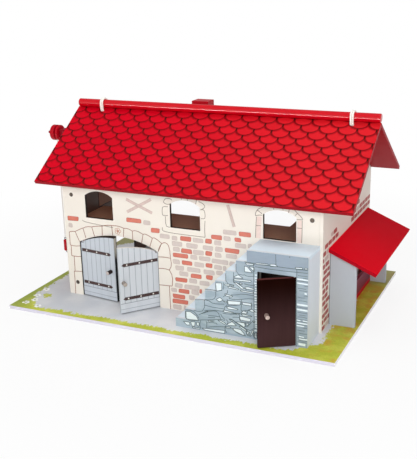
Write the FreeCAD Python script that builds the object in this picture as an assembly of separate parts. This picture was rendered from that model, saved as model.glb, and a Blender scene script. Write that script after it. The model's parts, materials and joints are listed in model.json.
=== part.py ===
"""Toy barn on a base board, in millimetres.

X runs along the front from the barn doors to the lean-to, Y from front to back, Z up.
The origin is the centre of the base board's underside.
Hinged pieces are made closed and then turned to the angle that they rest at.
"""
import FreeCAD, Part

import math
import os

# Boards and common clearances
base_board_thickness = 5.0
wall_thickness = 5.0
roof_thickness = 5.0
cut_overrun = 2.0

# Barn's depth, and the yard left free on the base board round the barn
barn_depth = 246.0
yard_left = 58.0
yard_right = 41.0
yard_front = 76.0
yard_back = 22.0

# Front wall, from the base board's underside up
doorway_from_left = 24.0
doorway_width = 132.5
doorway_spring_height = 91.0
doorway_rise = 16.0
loft_over_doorway = 10.0
window_sill_over_loft = 13.3
window_width = 46.5
window_side_height = 34.0
window_rise = 7.7
window_end_margin = 60.8
window_row_shift = 1.0
gable_over_window = 16.2
front_wall_roof_gap = 1.0

# Roof
roof_slope = 34.15
eave_overhang_front = 16.9
eave_overhang_back = 2.9
roof_overhang_left = 37.0
roof_overhang_right = 43.0
roof_seat_gap = 0.2
ridge_half_gap = 0.3
pole_radius = 6.0
pole_edge_gap = 0.3
pole_chamfer = 0.8
pole_left_inset = 2.4
chimney_from_left = 155.0
chimney_width = 27.0
chimney_depth = 21.0
chimney_from_ridge = 12.0
chimney_top_above_ridge = 14.8

# Cord ties over the ridge pole
tie_cord_radius = 1.4
tie_strand_gap = 0.1
tie_pole_gap = 0.15
tie_bend_radius = 4.0
tie_rise_over_panel = 3.0
tie_knot_radius = 3.6
tie_knot_length = 5.0
tie_knot_chamfer = 0.7
tie_knot_gap = 0.2
tie_hole_clearance = 0.4
tie_gable_gap = 1.2

# Doorway in the left gable
side_doorway_width = 65.0
side_doorway_behind_ridge = 50.5
side_doorway_below_main = 13.0
side_doorway_rise = 9.0

# Hinged leaves on pins
leaf_jamb_gap = 0.6
leaf_free_gap = 1.5
right_leaf_trim = 3.0
leaf_floor_gap = 1.0
leaf_top_gap = 1.5
leaf_corner_clip = 4.0
pin_radius = 1.2
pin_grip = 8.0
pin_seat = 3.5
pin_end_gap = 0.5
pin_running_clearance = 0.05
left_door_rest_angle = 7.5
right_door_rest_angle = 50.0
small_door_rest_angle = 31.0

# Knobs
knob_stem_radius = 1.8
knob_radius = 2.9
knob_length = 9.0
knob_round = 1.1
knob_from_free_edge = 11.5
barn_knob_from_meeting = 8.6
barn_knob_height = 53.0
small_knob_height = 51.5

# Corner battens and screws
post_width = 18.0
post_depth = 12.0
screw_from_corner = 15.0
screw_from_base = 19.6
screw_from_gable_top = 25.2
screw_head_radius = 3.2
screw_head_depth = 2.0
screw_radius = 1.4
screw_length = 14.0

# Loft
loft_thickness = 5.0
loft_gallery_depth = 97.0
loft_wing_width = 76.0
loft_rail_depth = 8.0
loft_rail_height = 5.0
hatch_width = 56.0
hatch_sill_step = 1.5
hatch_height = 53.0
hatch_knob_height = 27.0

# Stair, landing and the store under it
annex_inset = 3.4
annex_projection = 49.5
landing_length = 83.3
landing_below_sill = 0.8
stair_levels = 7
stair_run = 15.3
stair_from_doorway = 50.7
first_step_rise = 12.5
stair_board = 5.0
store_door_from_right = 15.8
store_door_width = 53.0
store_lintel_height = 27.5

# Lean-to
lean_from_front = 33.7
lean_from_back = 28.0
lean_side_reach = 36.6
lean_roof_reach = 66.2
lean_roof_height = 117.6
lean_roof_slope = 23.15
lean_roof_near_overhang = 7.2
lean_roof_far_overhang = 16.9
lean_roof_board = 5.0
lean_cleat_width = 10.0
lean_cleat_height = 8.0
manger_gap = 7.7
manger_height = 29.5

# Hoist
hoist_below_ridge = 45.2
hoist_beam_width = 12.0
hoist_beam_height = 14.0
hoist_beam_reach = 75.0
hoist_beam_tail = 10.0
axle_radius = 2.0
axle_socket = 14.0
axle_nub = 9.0
axle_clearance = 0.05
wheel_gap = 0.5
wheel_width = 14.5
wheel_radius = 12.5
wheel_round = 1.5
groove_radius = 4.0
groove_from_left = 9.2
groove_mouth = 3.0
groove_floor = 2.4
hoist_cord_radius = 0.8
wrap_gap = 0.1
wrap_knot_radius = 1.1
wrap_turn = 250.0
hook_top_height = 51.0
hook_weight_radius = 3.3
hook_weight_length = 19.0
hook_weight_round = 1.2
hook_wire_radius = 0.5
hook_ring_radius = 1.7
hook_shank_depth = 4.0
hook_drop = 1.5
hook_bend_radius = 1.6
hook_cord_gap = 0.2

# Worked-out places
V = FreeCAD.Vector
UP = V(0, 0, 1)
RIGHT = V(1, 0, 0)
BACK = V(0, 1, 0)
base_top = base_board_thickness
stair_length = stair_levels * stair_run
barn_length = (doorway_from_left + doorway_width + stair_from_doorway + stair_length
               + landing_length + annex_inset)
base_length = yard_left + barn_length + yard_right
base_depth = yard_front + barn_depth + yard_back
barn_left_x = yard_left - base_length / 2
barn_right_x = base_length / 2 - yard_right
barn_front_y = yard_front - base_depth / 2
barn_back_y = base_depth / 2 - yard_back
inner_left_x = barn_left_x + wall_thickness
inner_right_x = barn_right_x - wall_thickness
inner_front_y = barn_front_y + wall_thickness
wall_middle_y = barn_front_y + wall_thickness / 2

doorway_apex_z = doorway_spring_height + doorway_rise
loft_height = doorway_apex_z + loft_over_doorway
loft_underside = loft_height - loft_thickness
gallery_back_y = inner_front_y + loft_gallery_depth
window_sill_height = loft_height + window_sill_over_loft
window_spring_height = window_sill_height + window_side_height
window_middle_x = (barn_left_x + barn_right_x) / 2 + window_row_shift
window_pitch = barn_length / 2 - window_end_margin
gable_front_height = window_spring_height + window_rise + gable_over_window
hatch_low_z = loft_height + hatch_sill_step
hatch_high_z = hatch_low_z + hatch_height

slope = math.radians(roof_slope)
front_eave_y = barn_front_y - eave_overhang_front
ridge_y = (front_eave_y + barn_back_y + eave_overhang_back) / 2
roof_over_seat = (roof_thickness + roof_seat_gap) / math.cos(slope)
ridge_height = gable_front_height + roof_over_seat + (ridge_y - barn_front_y) * math.tan(slope)
pole_z = ridge_height + pole_radius + pole_edge_gap
roof_left_x = barn_left_x - roof_overhang_left
roof_right_x = barn_right_x + roof_overhang_right

doorway_left_x = barn_left_x + doorway_from_left
doorway_middle_x = doorway_left_x + doorway_width / 2
side_doorway_spring_height = doorway_spring_height - side_doorway_below_main
side_doorway_front_y = ridge_y + side_doorway_behind_ridge - side_doorway_width / 2
leaf_inset = leaf_jamb_gap + wall_thickness / 2

annex_front_y = barn_front_y - annex_projection
annex_inner_y = annex_front_y + wall_thickness
annex_right_x = barn_right_x - annex_inset
landing_left_x = annex_right_x - landing_length
landing_height = window_sill_height - landing_below_sill
stair_rise = (landing_height - base_top - first_step_rise) / stair_levels
store_right_x = annex_right_x - store_door_from_right
store_door_height = landing_height - store_lintel_height

lean_tilt = math.radians(lean_roof_slope)
lean_near_y = barn_front_y + lean_from_front
lean_far_y = barn_back_y - lean_from_back

hoist_height = ridge_height - hoist_below_ridge
beam_end_x = barn_left_x - hoist_beam_reach
wheel_right_x = beam_end_x - wheel_gap
wheel_left_x = wheel_right_x - wheel_width
groove_x = wheel_left_x + groove_from_left
wrap_radius = groove_radius + hoist_cord_radius + wrap_gap
cord_y = ridge_y - wrap_radius
weight_top_z = hook_top_height - 2 * (hook_ring_radius + hook_wire_radius)
weight_low_z = weight_top_z - hook_weight_length


def roof_top_z(y):
    """Height of the roof panels' upper face at a depth y."""
    return ridge_height - abs(y - ridge_y) * math.tan(slope)


def roof_seat_z(y):
    """Height of the gables' upper edge at a depth y, just under the panels."""
    return roof_top_z(y) - roof_over_seat


def lean_under_z(x):
    """Height of the lean-to roof's underside at x."""
    drop = (x - barn_right_x) * math.tan(lean_tilt)
    return lean_roof_height - lean_roof_board / math.cos(lean_tilt) - drop


def box(low, high):
    """Box between two corners."""
    size = [b - a for a, b in zip(low, high)]
    return Part.makeBox(*size, V(*low))


def prism(points, push):
    """Solid from a closed outline of points, pushed along a vector."""
    outline = Part.makePolygon(points + points[:1])
    return Part.Face(outline).extrude(push)


def prism_across_x(outline, x0, x1):
    """Solid from (y, z) points, between two x values."""
    return prism([V(x0, y, z) for y, z in outline], V(x1 - x0, 0, 0))


def prism_across_y(outline, y0, y1):
    """Solid from (x, z) points, between two y values."""
    return prism([V(x, y0, z) for x, z in outline], V(0, y1 - y0, 0))


def rod(radius, start, end):
    """Round rod between two points."""
    along = end - start
    return Part.makeCylinder(radius, along.Length, start, along)


def turned(profile, place, axis):
    """Solid turned from (radius, height) steps, with its height along an axis from a place."""
    points = [V(r, 0, h) for r, h in profile]
    solid = Part.Face(Part.makePolygon(points + points[:1])).revolve(V(0, 0, 0), UP, 360)
    solid.Placement = FreeCAD.Placement(place, FreeCAD.Rotation(UP, axis))
    return solid


def rounded_step(radius, height, fillet, outward):
    """Points of a rounded rim at a radius and height, outward being 1 at the top and -1 at the foot."""
    steps = 5
    turn = [math.pi / 2 * i / steps for i in range(steps + 1)]
    points = [(radius + fillet * (math.cos(a) - 1), height + outward * fillet * (math.sin(a) - 1))
              for a in turn]
    return points if outward > 0 else points[::-1]


def arch_circle(width, spring, rise):
    """Radius and centre height of a segmental arch."""
    radius = (rise ** 2 + (width / 2) ** 2) / (2 * rise)
    return radius, spring + rise - radius


def arch_height(offset, width, spring, rise):
    """Height of a segmental arch at an offset from its middle."""
    radius, centre = arch_circle(width, spring, rise)
    return centre + math.sqrt(radius ** 2 - offset ** 2)


def arched_block(corner, along, width, foot, spring, rise, push):
    """Block with an arched top: corner is its foot's low end, along its width's direction."""
    def at(share, z):
        return corner + along * (width * share) + UP * (z - corner.z)

    arc = Part.Arc(at(1, spring), at(1 / 2, spring + rise), at(0, spring)).toShape()
    sides = [Part.makeLine(at(0, spring), at(0, foot)), Part.makeLine(at(0, foot), at(1, foot)),
             Part.makeLine(at(1, foot), at(1, spring))]
    return Part.Face(Part.Wire(sides + [arc])).extrude(push)


def leaf_stock(pivot, direction, reach, low, high):
    """Flat leaf from a pivot along a direction, with its hinge edge rounded about the pivot."""
    half = wall_thickness / 2
    stock = Part.makeBox(reach, wall_thickness, high - low, V(0, -half, low))
    stock = stock.fuse(Part.makeCylinder(half, high - low, V(0, 0, low))).removeSplitter()
    stock.Placement = FreeCAD.Placement(V(pivot.x, pivot.y, 0), FreeCAD.Rotation(RIGHT, direction))
    return stock


def pivot_pins(pivot, foot_seat_z, leaf_low_z, leaf_high_z, head_seat_z, clearance=0.0, end_gap=0.0):
    """Pins at the foot and head of a leaf, or the holes for them."""
    radius = pin_radius + clearance
    spans = [(foot_seat_z - pin_seat - end_gap, leaf_low_z + pin_grip),
             (leaf_high_z - pin_grip, head_seat_z + pin_seat + end_gap)]
    return Part.makeCompound([rod(radius, V(pivot.x, pivot.y, a), V(pivot.x, pivot.y, b)) for a, b in spans])


def pin_holes(hinge):
    """Running holes in the boards above and below a leaf."""
    return pivot_pins(**hinge, clearance=pin_running_clearance, end_gap=pin_end_gap)


def knob(face_point, outward):
    """Turned knob with a stem through the leaf behind it."""
    head = rounded_step(knob_radius, knob_length, knob_round, 1)
    profile = [(0, -wall_thickness), (knob_stem_radius, -wall_thickness), (knob_stem_radius, 0),
               (knob_radius, 0)]
    return turned(profile + head + [(0, knob_length)], face_point, outward)


# Hinge lines and reach of the leaves
right_door_pivot = V(doorway_left_x + doorway_width - leaf_inset, wall_middle_y, 0)
left_door_pivot = V(doorway_left_x + leaf_inset, wall_middle_y, 0)
left_leaf_reach = (right_door_pivot.x - left_door_pivot.x - leaf_free_gap) / 2
right_leaf_reach = left_leaf_reach - right_leaf_trim
barn_knob_reach = left_leaf_reach - barn_knob_from_meeting
barn_leaf_low_z = base_top + leaf_floor_gap
small_door_pivot = V(store_right_x - leaf_inset, annex_front_y + wall_thickness / 2, 0)
small_leaf_reach = store_door_width - leaf_inset - leaf_free_gap
hatch_pivot = V(barn_left_x + wall_thickness / 2, ridge_y + hatch_width / 2 - leaf_inset, 0)
hatch_leaf_reach = hatch_width - leaf_inset - leaf_free_gap


def barn_corner_z(pivot):
    """Height of a barn door's top hinge corner, clear of the arch beside the jamb."""
    edge = abs(pivot.x - doorway_middle_x) + wall_thickness / 2
    return arch_height(edge, doorway_width, doorway_spring_height, doorway_rise) - leaf_top_gap


def barn_hinge(pivot):
    """Pin heights of a barn door: its head pin enters the arch over the pivot."""
    offset = pivot.x - doorway_middle_x
    soffit = arch_height(offset, doorway_width, doorway_spring_height, doorway_rise)
    return dict(pivot=pivot, foot_seat_z=base_top, leaf_low_z=barn_leaf_low_z,
                leaf_high_z=barn_corner_z(pivot), head_seat_z=soffit)


def flat_hinge(pivot, foot_z, head_z):
    """Pin heights of a leaf in a square-headed opening."""
    return dict(pivot=pivot, foot_seat_z=foot_z, leaf_low_z=foot_z + leaf_floor_gap,
                leaf_high_z=head_z - leaf_top_gap, head_seat_z=head_z)


left_hinge = barn_hinge(left_door_pivot)
right_hinge = barn_hinge(right_door_pivot)
small_hinge = flat_hinge(small_door_pivot, base_top, store_door_height)
hatch_hinge = flat_hinge(hatch_pivot, hatch_low_z, hatch_high_z)


def base_board():
    """Base board with blind holes for the doors' foot pins."""
    half = V(base_length / 2, base_depth / 2, 0)
    board = box(-half, half + UP * base_board_thickness)
    return board.cut([pin_holes(h) for h in (left_hinge, right_hinge, small_hinge)])


def window_middles():
    """Middle x of each front window."""
    return [window_middle_x + i * window_pitch for i in (-1, 0, 1)]


def screw(x, z):
    """Countersunk screw from the front wall's face into a batten."""
    profile = [(0, 0), (screw_head_radius, 0), (screw_radius, screw_head_depth),
               (screw_radius, screw_length - screw_radius), (0, screw_length)]
    return turned(profile, V(x, barn_front_y, z), BACK)


def wall_screws():
    """Screws at the top and bottom of both front corners."""
    columns = (barn_left_x + screw_from_corner, barn_right_x - screw_from_corner)
    rows = (base_top + screw_from_base, gable_front_height - screw_from_gable_top)
    return Part.makeCompound([screw(x, z) for x in columns for z in rows])


def front_wall():
    """Front board between the gables with its windows and the main doorway."""
    top = gable_front_height - front_wall_roof_gap
    wall = box((inner_left_x, barn_front_y, base_top), (inner_right_x, inner_front_y, top))
    push = V(0, wall_thickness + 2 * cut_overrun, 0)
    front = barn_front_y - cut_overrun
    cuts = [arched_block(V(x - window_width / 2, front, window_sill_height), RIGHT, window_width,
                         window_sill_height, window_spring_height, window_rise, push)
            for x in window_middles()]
    cuts.append(arched_block(V(doorway_left_x, front, base_top), RIGHT, doorway_width,
                             base_top - cut_overrun, doorway_spring_height, doorway_rise, push))
    return wall.cut(cuts + [pin_holes(left_hinge), pin_holes(right_hinge), wall_screws()])


def gable(x0):
    """End board under the two roof slopes."""
    seats = [(y, roof_seat_z(y)) for y in (barn_front_y, ridge_y, barn_back_y)]
    outline = [(barn_front_y, base_top)] + seats + [(barn_back_y, base_top)]
    return prism_across_x(outline, x0, x0 + wall_thickness)


def left_gable():
    """Hoist-side gable with a doorway, a loft hatch and the hoist beam's mortise."""
    x0 = barn_left_x - cut_overrun
    x1 = inner_left_x + cut_overrun
    doorway = arched_block(V(x0, side_doorway_front_y, base_top), BACK, side_doorway_width,
                           base_top - cut_overrun, side_doorway_spring_height, side_doorway_rise,
                           V(x1 - x0, 0, 0))
    hatch = box((x0, ridge_y - hatch_width / 2, hatch_low_z), (x1, ridge_y + hatch_width / 2, hatch_high_z))
    return gable(barn_left_x).cut([doorway, hatch, pin_holes(hatch_hinge), hoist_beam_stock()])


def corner_post(x0):
    """Batten behind a front corner."""
    top = gable_front_height - front_wall_roof_gap
    return box((x0, inner_front_y, base_top), (x0 + post_width, inner_front_y + post_depth, top))


def post_places():
    """Low x of the left and right battens."""
    return inner_left_x, inner_right_x - post_width


def loft_floor():
    """L-shaped floor: a gallery along the front and a wing along the right gable."""
    wing_x = inner_right_x - loft_wing_width
    gallery = box((inner_left_x, inner_front_y, loft_underside), (inner_right_x, gallery_back_y, loft_height))
    wing = box((wing_x, gallery_back_y, loft_underside), (inner_right_x, barn_back_y, loft_height))
    return gallery.fuse(wing).removeSplitter().cut([corner_post(x) for x in post_places()])


def loft_rail_front():
    """Ledge on the front wall, between the battens."""
    left, right = post_places()
    return box((left + post_width, inner_front_y, loft_underside - loft_rail_height),
               (right, inner_front_y + loft_rail_depth, loft_underside))


def loft_rail_side(x0, y1):
    """Ledge on a gable, from the batten back to y1."""
    return box((x0, inner_front_y + post_depth, loft_underside - loft_rail_height),
               (x0 + loft_rail_depth, y1, loft_underside))


def hinge_corner(pivot, direction):
    """Waste cut level from a barn door's top hinge corner, so that it turns under the arch."""
    return leaf_stock(pivot, direction, leaf_corner_clip, barn_corner_z(pivot), doorway_apex_z)


def barn_leaf(hinge, direction, reach, rest_turn):
    """Barn door and its knob and pins, turned to the angle that it rests at."""
    pivot = hinge["pivot"]
    radius, centre = arch_circle(doorway_width, doorway_spring_height, doorway_rise)
    half = doorway_width / 2
    spring = centre + math.sqrt((radius - leaf_top_gap) ** 2 - half ** 2)
    rise = centre + radius - leaf_top_gap - spring
    head = arched_block(V(doorway_left_x, barn_front_y - cut_overrun, barn_leaf_low_z), RIGHT, doorway_width,
                        barn_leaf_low_z, spring, rise, V(0, wall_thickness + 2 * cut_overrun, 0))
    leaf = leaf_stock(pivot, direction, reach, barn_leaf_low_z, doorway_apex_z)
    leaf = leaf.common(head).cut(hinge_corner(pivot, direction))
    place = pivot + direction * barn_knob_reach
    grip = knob(V(place.x, barn_front_y, barn_knob_height), -BACK)
    return rest_pieces(leaf, grip, hinge, rest_turn)


def flat_leaf(hinge, direction, reach, outward, knob_z, rest_turn):
    """Square-headed leaf and its knob and pins, turned to the angle that it rests at."""
    pivot = hinge["pivot"]
    leaf = leaf_stock(pivot, direction, reach, hinge["leaf_low_z"], hinge["leaf_high_z"])
    place = pivot + direction * (reach - knob_from_free_edge) + outward * (wall_thickness / 2)
    grip = knob(V(place.x, place.y, knob_z), outward)
    return rest_pieces(leaf, grip, hinge, rest_turn)


def rest_pieces(leaf, grip, hinge, rest_turn):
    """Leaf with its holes, its knob and its pins, all turned about the pivot."""
    pins = pivot_pins(**hinge)
    pieces = [leaf.cut([grip, pins]), grip, pins]
    for piece in pieces:
        piece.rotate(hinge["pivot"], UP, rest_turn)
    return pieces


def tie_route(x):
    """Route of one strand: up out of one panel, over the pole and down into the other."""
    reach = pole_radius + tie_cord_radius + tie_pole_gap
    down = V(0, math.sin(slope), -math.cos(slope))
    along = (reach - tie_rise_over_panel * math.sin(slope)) / math.cos(slope)
    bend_z = ridge_height - along * math.sin(slope) + tie_rise_over_panel * math.cos(slope)
    bend = V(x, ridge_y - reach, bend_z)
    tangent = tie_bend_radius * math.tan(slope / 2)
    knot = bend + down * (tie_rise_over_panel + roof_thickness + tie_knot_gap)
    end = knot + down * (tie_knot_length / 2)
    arc_middle = bend + (down + UP).normalize() * (tie_bend_radius / math.cos(slope / 2) - tie_bend_radius)
    points = [end, bend + down * tangent, arc_middle, bend + UP * tangent, V(x, ridge_y - reach, pole_z)]
    return points, reach, along, knot, down


def across_ridge(point):
    """The same point on the other side of the ridge."""
    return V(point.x, 2 * ridge_y - point.y, point.z)


def tie_strand(x):
    """One strand of a tie."""
    front, reach = tie_route(x)[:2]
    back = [across_ridge(p) for p in front]
    crown = V(x, ridge_y, pole_z + reach)
    edges = [Part.makeLine(front[0], front[1]), Part.Arc(front[1], front[2], front[3]).toShape(),
             Part.makeLine(front[3], front[4]), Part.Arc(front[4], crown, back[4]).toShape(),
             Part.makeLine(back[4], back[3]), Part.Arc(back[3], back[2], back[1]).toShape(),
             Part.makeLine(back[1], back[0])]
    section = Part.Wire(Part.makeCircle(tie_cord_radius, front[0], front[1] - front[0]))
    return Part.Wire(edges).makePipeShell([section], True, False)


def tie_knot(middle_x):
    """Knot under the front panel."""
    knot, down = tie_route(middle_x)[3:]
    small = tie_knot_radius - tie_knot_chamfer
    profile = [(0, 0), (small, 0), (tie_knot_radius, tie_knot_chamfer),
               (tie_knot_radius, tie_knot_length - tie_knot_chamfer),
               (small, tie_knot_length), (0, tie_knot_length)]
    return turned(profile, knot, down)


def roof_tie(middle_x):
    """Tie of two strands with a knot under each panel."""
    half = tie_cord_radius + tie_strand_gap / 2
    strands = [tie_strand(middle_x + side * half) for side in (-1, 1)]
    knot = tie_knot(middle_x)
    return strands[0].fuse([strands[1], knot, knot.mirror(V(0, ridge_y, 0), BACK)])


def tie_middles():
    """Middle x of the ties, one beside each gable."""
    half = 2 * tie_cord_radius + tie_strand_gap / 2
    return inner_left_x + tie_gable_gap + half, barn_right_x + tie_gable_gap + half


def tie_hole(middle_x):
    """Slot in the front panel for a tie's two strands, square to the panel."""
    along = tie_route(middle_x)[2]
    half = tie_cord_radius + tie_strand_gap / 2
    radius = tie_cord_radius + tie_hole_clearance
    depth = roof_thickness + 2 * cut_overrun
    low = -roof_thickness - cut_overrun
    ends = [Part.makeCylinder(radius, depth, V(side * half, 0, low)) for side in (-1, 1)]
    slot = Part.makeBox(2 * half, 2 * radius, depth, V(-half, -radius, low)).fuse(ends)
    place = V(middle_x, ridge_y - along * math.cos(slope), ridge_height - along * math.sin(slope))
    slot.Placement = FreeCAD.Placement(place, FreeCAD.Rotation(RIGHT, roof_slope))
    return slot


def front_roof_panel():
    """Front roof board, mitred at the ridge and square at the eave."""
    eave_z = roof_top_z(front_eave_y)
    ridge_edge_y = ridge_y - ridge_half_gap
    thick_y = roof_thickness * math.sin(slope)
    thick_z = roof_thickness * math.cos(slope)
    upright = roof_thickness / math.cos(slope)
    outline = [(front_eave_y, eave_z), (ridge_edge_y, roof_top_z(ridge_edge_y)),
               (ridge_edge_y, roof_top_z(ridge_edge_y) - upright), (front_eave_y + thick_y, eave_z - thick_z)]
    panel = prism_across_x(outline, roof_left_x, roof_right_x)
    return panel.cut([tie_hole(x) for x in tie_middles()])


def back_roof_panel():
    """Back roof board, the front one's mirror image."""
    return front_roof_panel().mirror(V(0, ridge_y, 0), BACK)


def chimney():
    """Chimney block with its foot cut to the back slope."""
    x0 = barn_left_x + chimney_from_left
    y0 = ridge_y + chimney_from_ridge
    y1 = y0 + chimney_depth
    top = ridge_height + chimney_top_above_ridge
    outline = [(y0, top), (y1, top), (y1, roof_top_z(y1)), (y0, roof_top_z(y0))]
    return prism_across_x(outline, x0, x0 + chimney_width)


def ridge_pole():
    """Round pole along the ridge with eased ends."""
    left_x = roof_left_x + pole_left_inset
    length = roof_right_x - left_x
    small = pole_radius - pole_chamfer
    profile = [(0, 0), (small, 0), (pole_radius, pole_chamfer), (pole_radius, length - pole_chamfer),
               (small, length), (0, length)]
    return turned(profile, V(left_x, ridge_y, pole_z), RIGHT)


def step_left_x(level):
    """Left edge of a step, level 0 being the landing."""
    return landing_left_x - level * stair_run


def step_top_z(level):
    """Height of a step, level 0 being the landing."""
    return landing_height - level * stair_rise


def stair_front():
    """Stepped front board with the store's doorway."""
    outline = [(annex_right_x, base_top), (annex_right_x, landing_height)]
    for level in range(stair_levels + 1):
        outline.append((step_left_x(level), step_top_z(level)))
        foot_z = step_top_z(level + 1) if level < stair_levels else base_top
        outline.append((step_left_x(level), foot_z))
    board = prism_across_y(outline, annex_front_y, annex_inner_y)
    doorway = box((store_right_x - store_door_width, annex_front_y - cut_overrun, base_top - cut_overrun),
                  (store_right_x, annex_inner_y + cut_overrun, store_door_height))
    return board.cut([doorway, pin_holes(small_hinge)])


def stair_treads():
    """Tread boards, each tucked under the riser behind it."""
    treads = []
    for level in range(1, stair_levels + 1):
        top = step_top_z(level)
        treads.append(box((step_left_x(level), annex_inner_y, top - stair_board),
                          (step_left_x(level - 1) + stair_board, barn_front_y, top)))
    return Part.makeCompound(treads)


def stair_risers():
    """Riser boards, each standing on the tread in front of it."""
    risers = []
    for level in range(stair_levels + 1):
        foot = step_top_z(level + 1) if level < stair_levels else base_top
        head = step_top_z(level) - stair_board
        x0 = step_left_x(level)
        risers.append(box((x0, annex_inner_y, foot), (x0 + stair_board, barn_front_y, head)))
    return Part.makeCompound(risers)


def landing_board():
    """Top of the store, level with the stepped board."""
    return box((landing_left_x, annex_inner_y, landing_height - stair_board),
               (annex_right_x, barn_front_y, landing_height))


def annex_side():
    """Right side of the store."""
    return box((annex_right_x - stair_board, annex_inner_y, base_top),
               (annex_right_x, barn_front_y, landing_height - stair_board))


def lean_to_roof():
    """Sloping roof board of the lean-to, cut upright where it meets the gable."""
    outer_x = barn_right_x + lean_roof_reach
    outer_z = lean_roof_height - lean_roof_reach * math.tan(lean_tilt)
    under_x = outer_x - lean_roof_board * math.sin(lean_tilt)
    under_z = outer_z - lean_roof_board * math.cos(lean_tilt)
    outline = [(barn_right_x, lean_roof_height), (outer_x, outer_z), (under_x, under_z),
               (barn_right_x, lean_under_z(barn_right_x))]
    return prism_across_y(outline, lean_near_y - lean_roof_near_overhang, lean_far_y + lean_roof_far_overhang)


def lean_to_side(y0):
    """Side board of the lean-to under its roof."""
    outer_x = barn_right_x + lean_side_reach
    outline = [(barn_right_x, base_top), (outer_x, base_top), (outer_x, lean_under_z(outer_x)),
               (barn_right_x, lean_under_z(barn_right_x))]
    return prism_across_y(outline, y0, y0 + wall_thickness)


def lean_to_cleat():
    """Batten on the gable that carries the lean-to roof's upper edge."""
    outer_x = barn_right_x + lean_cleat_width
    foot = lean_under_z(outer_x) - lean_cleat_height
    outline = [(barn_right_x, foot), (outer_x, foot), (outer_x, lean_under_z(outer_x)),
               (barn_right_x, lean_under_z(barn_right_x))]
    return prism_across_y(outline, lean_near_y + wall_thickness, lean_far_y - wall_thickness)


def manger_board():
    """Front board of the trough along the gable."""
    x0 = barn_right_x + manger_gap
    return box((x0, lean_near_y + wall_thickness, base_top),
               (x0 + wall_thickness, lean_far_y - wall_thickness, base_top + manger_height))


def hoist_beam_stock():
    """Outside shape of the hoist beam, which is also its mortise in the gable."""
    half = V(0, hoist_beam_width / 2, hoist_beam_height / 2)
    tail_x = inner_left_x + hoist_beam_tail
    return box(V(beam_end_x, ridge_y, hoist_height) - half, V(tail_x, ridge_y, hoist_height) + half)


def hoist_axle():
    """Pin in the beam's end that carries the wheel."""
    return rod(axle_radius, V(beam_end_x + axle_socket, ridge_y, hoist_height),
               V(wheel_left_x - axle_nub, ridge_y, hoist_height))


def hoist_wheel():
    """Grooved wheel, free on its axle."""
    bore = axle_radius + axle_clearance
    middle = groove_from_left
    groove = [(wheel_radius, middle - groove_mouth / 2), (groove_radius, middle - groove_floor / 2),
              (groove_radius, middle + groove_floor / 2), (wheel_radius, middle + groove_mouth / 2)]
    foot = rounded_step(wheel_radius, 0, wheel_round, -1)
    head = rounded_step(wheel_radius, wheel_width, wheel_round, 1)
    profile = [(bore, 0)] + foot + groove + head + [(bore, wheel_width)]
    return turned(profile, V(wheel_left_x, ridge_y, hoist_height), RIGHT)


def hoist_wrap():
    """The cord's turn in the wheel's groove, from the front over the top, with a knot at its end."""
    end_angle = 180 - wrap_turn
    turn = Part.makeTorus(wrap_radius, hoist_cord_radius, V(0, 0, 0), UP, -180, 180, wrap_turn)
    turn.rotate(V(0, 0, 0), UP, end_angle)
    end = math.radians(end_angle)
    knot_reach = groove_radius + wrap_gap + wrap_knot_radius
    knot = Part.makeSphere(wrap_knot_radius, V(math.cos(end), math.sin(end), 0) * knot_reach)
    wrap = turn.fuse(knot)
    upright = FreeCAD.Rotation(BACK, UP, RIGHT, "XYZ")
    wrap.Placement = FreeCAD.Placement(V(groove_x, ridge_y, hoist_height), upright)
    return wrap


def hoist_cord():
    """Straight hanging cord from the wheel's front to the hook's eye."""
    low = V(groove_x, cord_y, hook_top_height + hook_cord_gap)
    return rod(hoist_cord_radius, low, V(groove_x, cord_y, hoist_height))


def hook_eye():
    """Wire ring with a shank in the top of the weight."""
    ring_z = weight_top_z + hook_ring_radius + hook_wire_radius
    ring = Part.makeTorus(hook_ring_radius, hook_wire_radius, V(groove_x, cord_y, ring_z), BACK)
    shank = rod(hook_wire_radius, V(groove_x, cord_y, weight_top_z - hook_shank_depth),
                V(groove_x, cord_y, weight_top_z + hook_wire_radius))
    return ring.fuse(shank)


def hook_tip():
    """Bent wire hook under the weight."""
    top = V(groove_x, cord_y, weight_low_z + hook_shank_depth)
    start = V(groove_x, cord_y, weight_low_z - hook_drop)
    low = start + V(hook_bend_radius, 0, -hook_bend_radius)
    end = start + V(2 * hook_bend_radius, 0, 0)
    path = Part.Wire([Part.makeLine(top, start), Part.Arc(start, low, end).toShape()])
    section = Part.Wire(Part.makeCircle(hook_wire_radius, top, start - top))
    return path.makePipeShell([section], True, False)


def hook_weight():
    """Turned wooden weight between the eye and the hook."""
    foot = rounded_step(hook_weight_radius, 0, hook_weight_round, -1)
    head = rounded_step(hook_weight_radius, hook_weight_length, hook_weight_round, 1)
    profile = [(0, 0)] + foot + head + [(0, hook_weight_length)]
    return turned(profile, V(groove_x, cord_y, weight_low_z), UP).cut([hook_eye(), hook_tip()])


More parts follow.
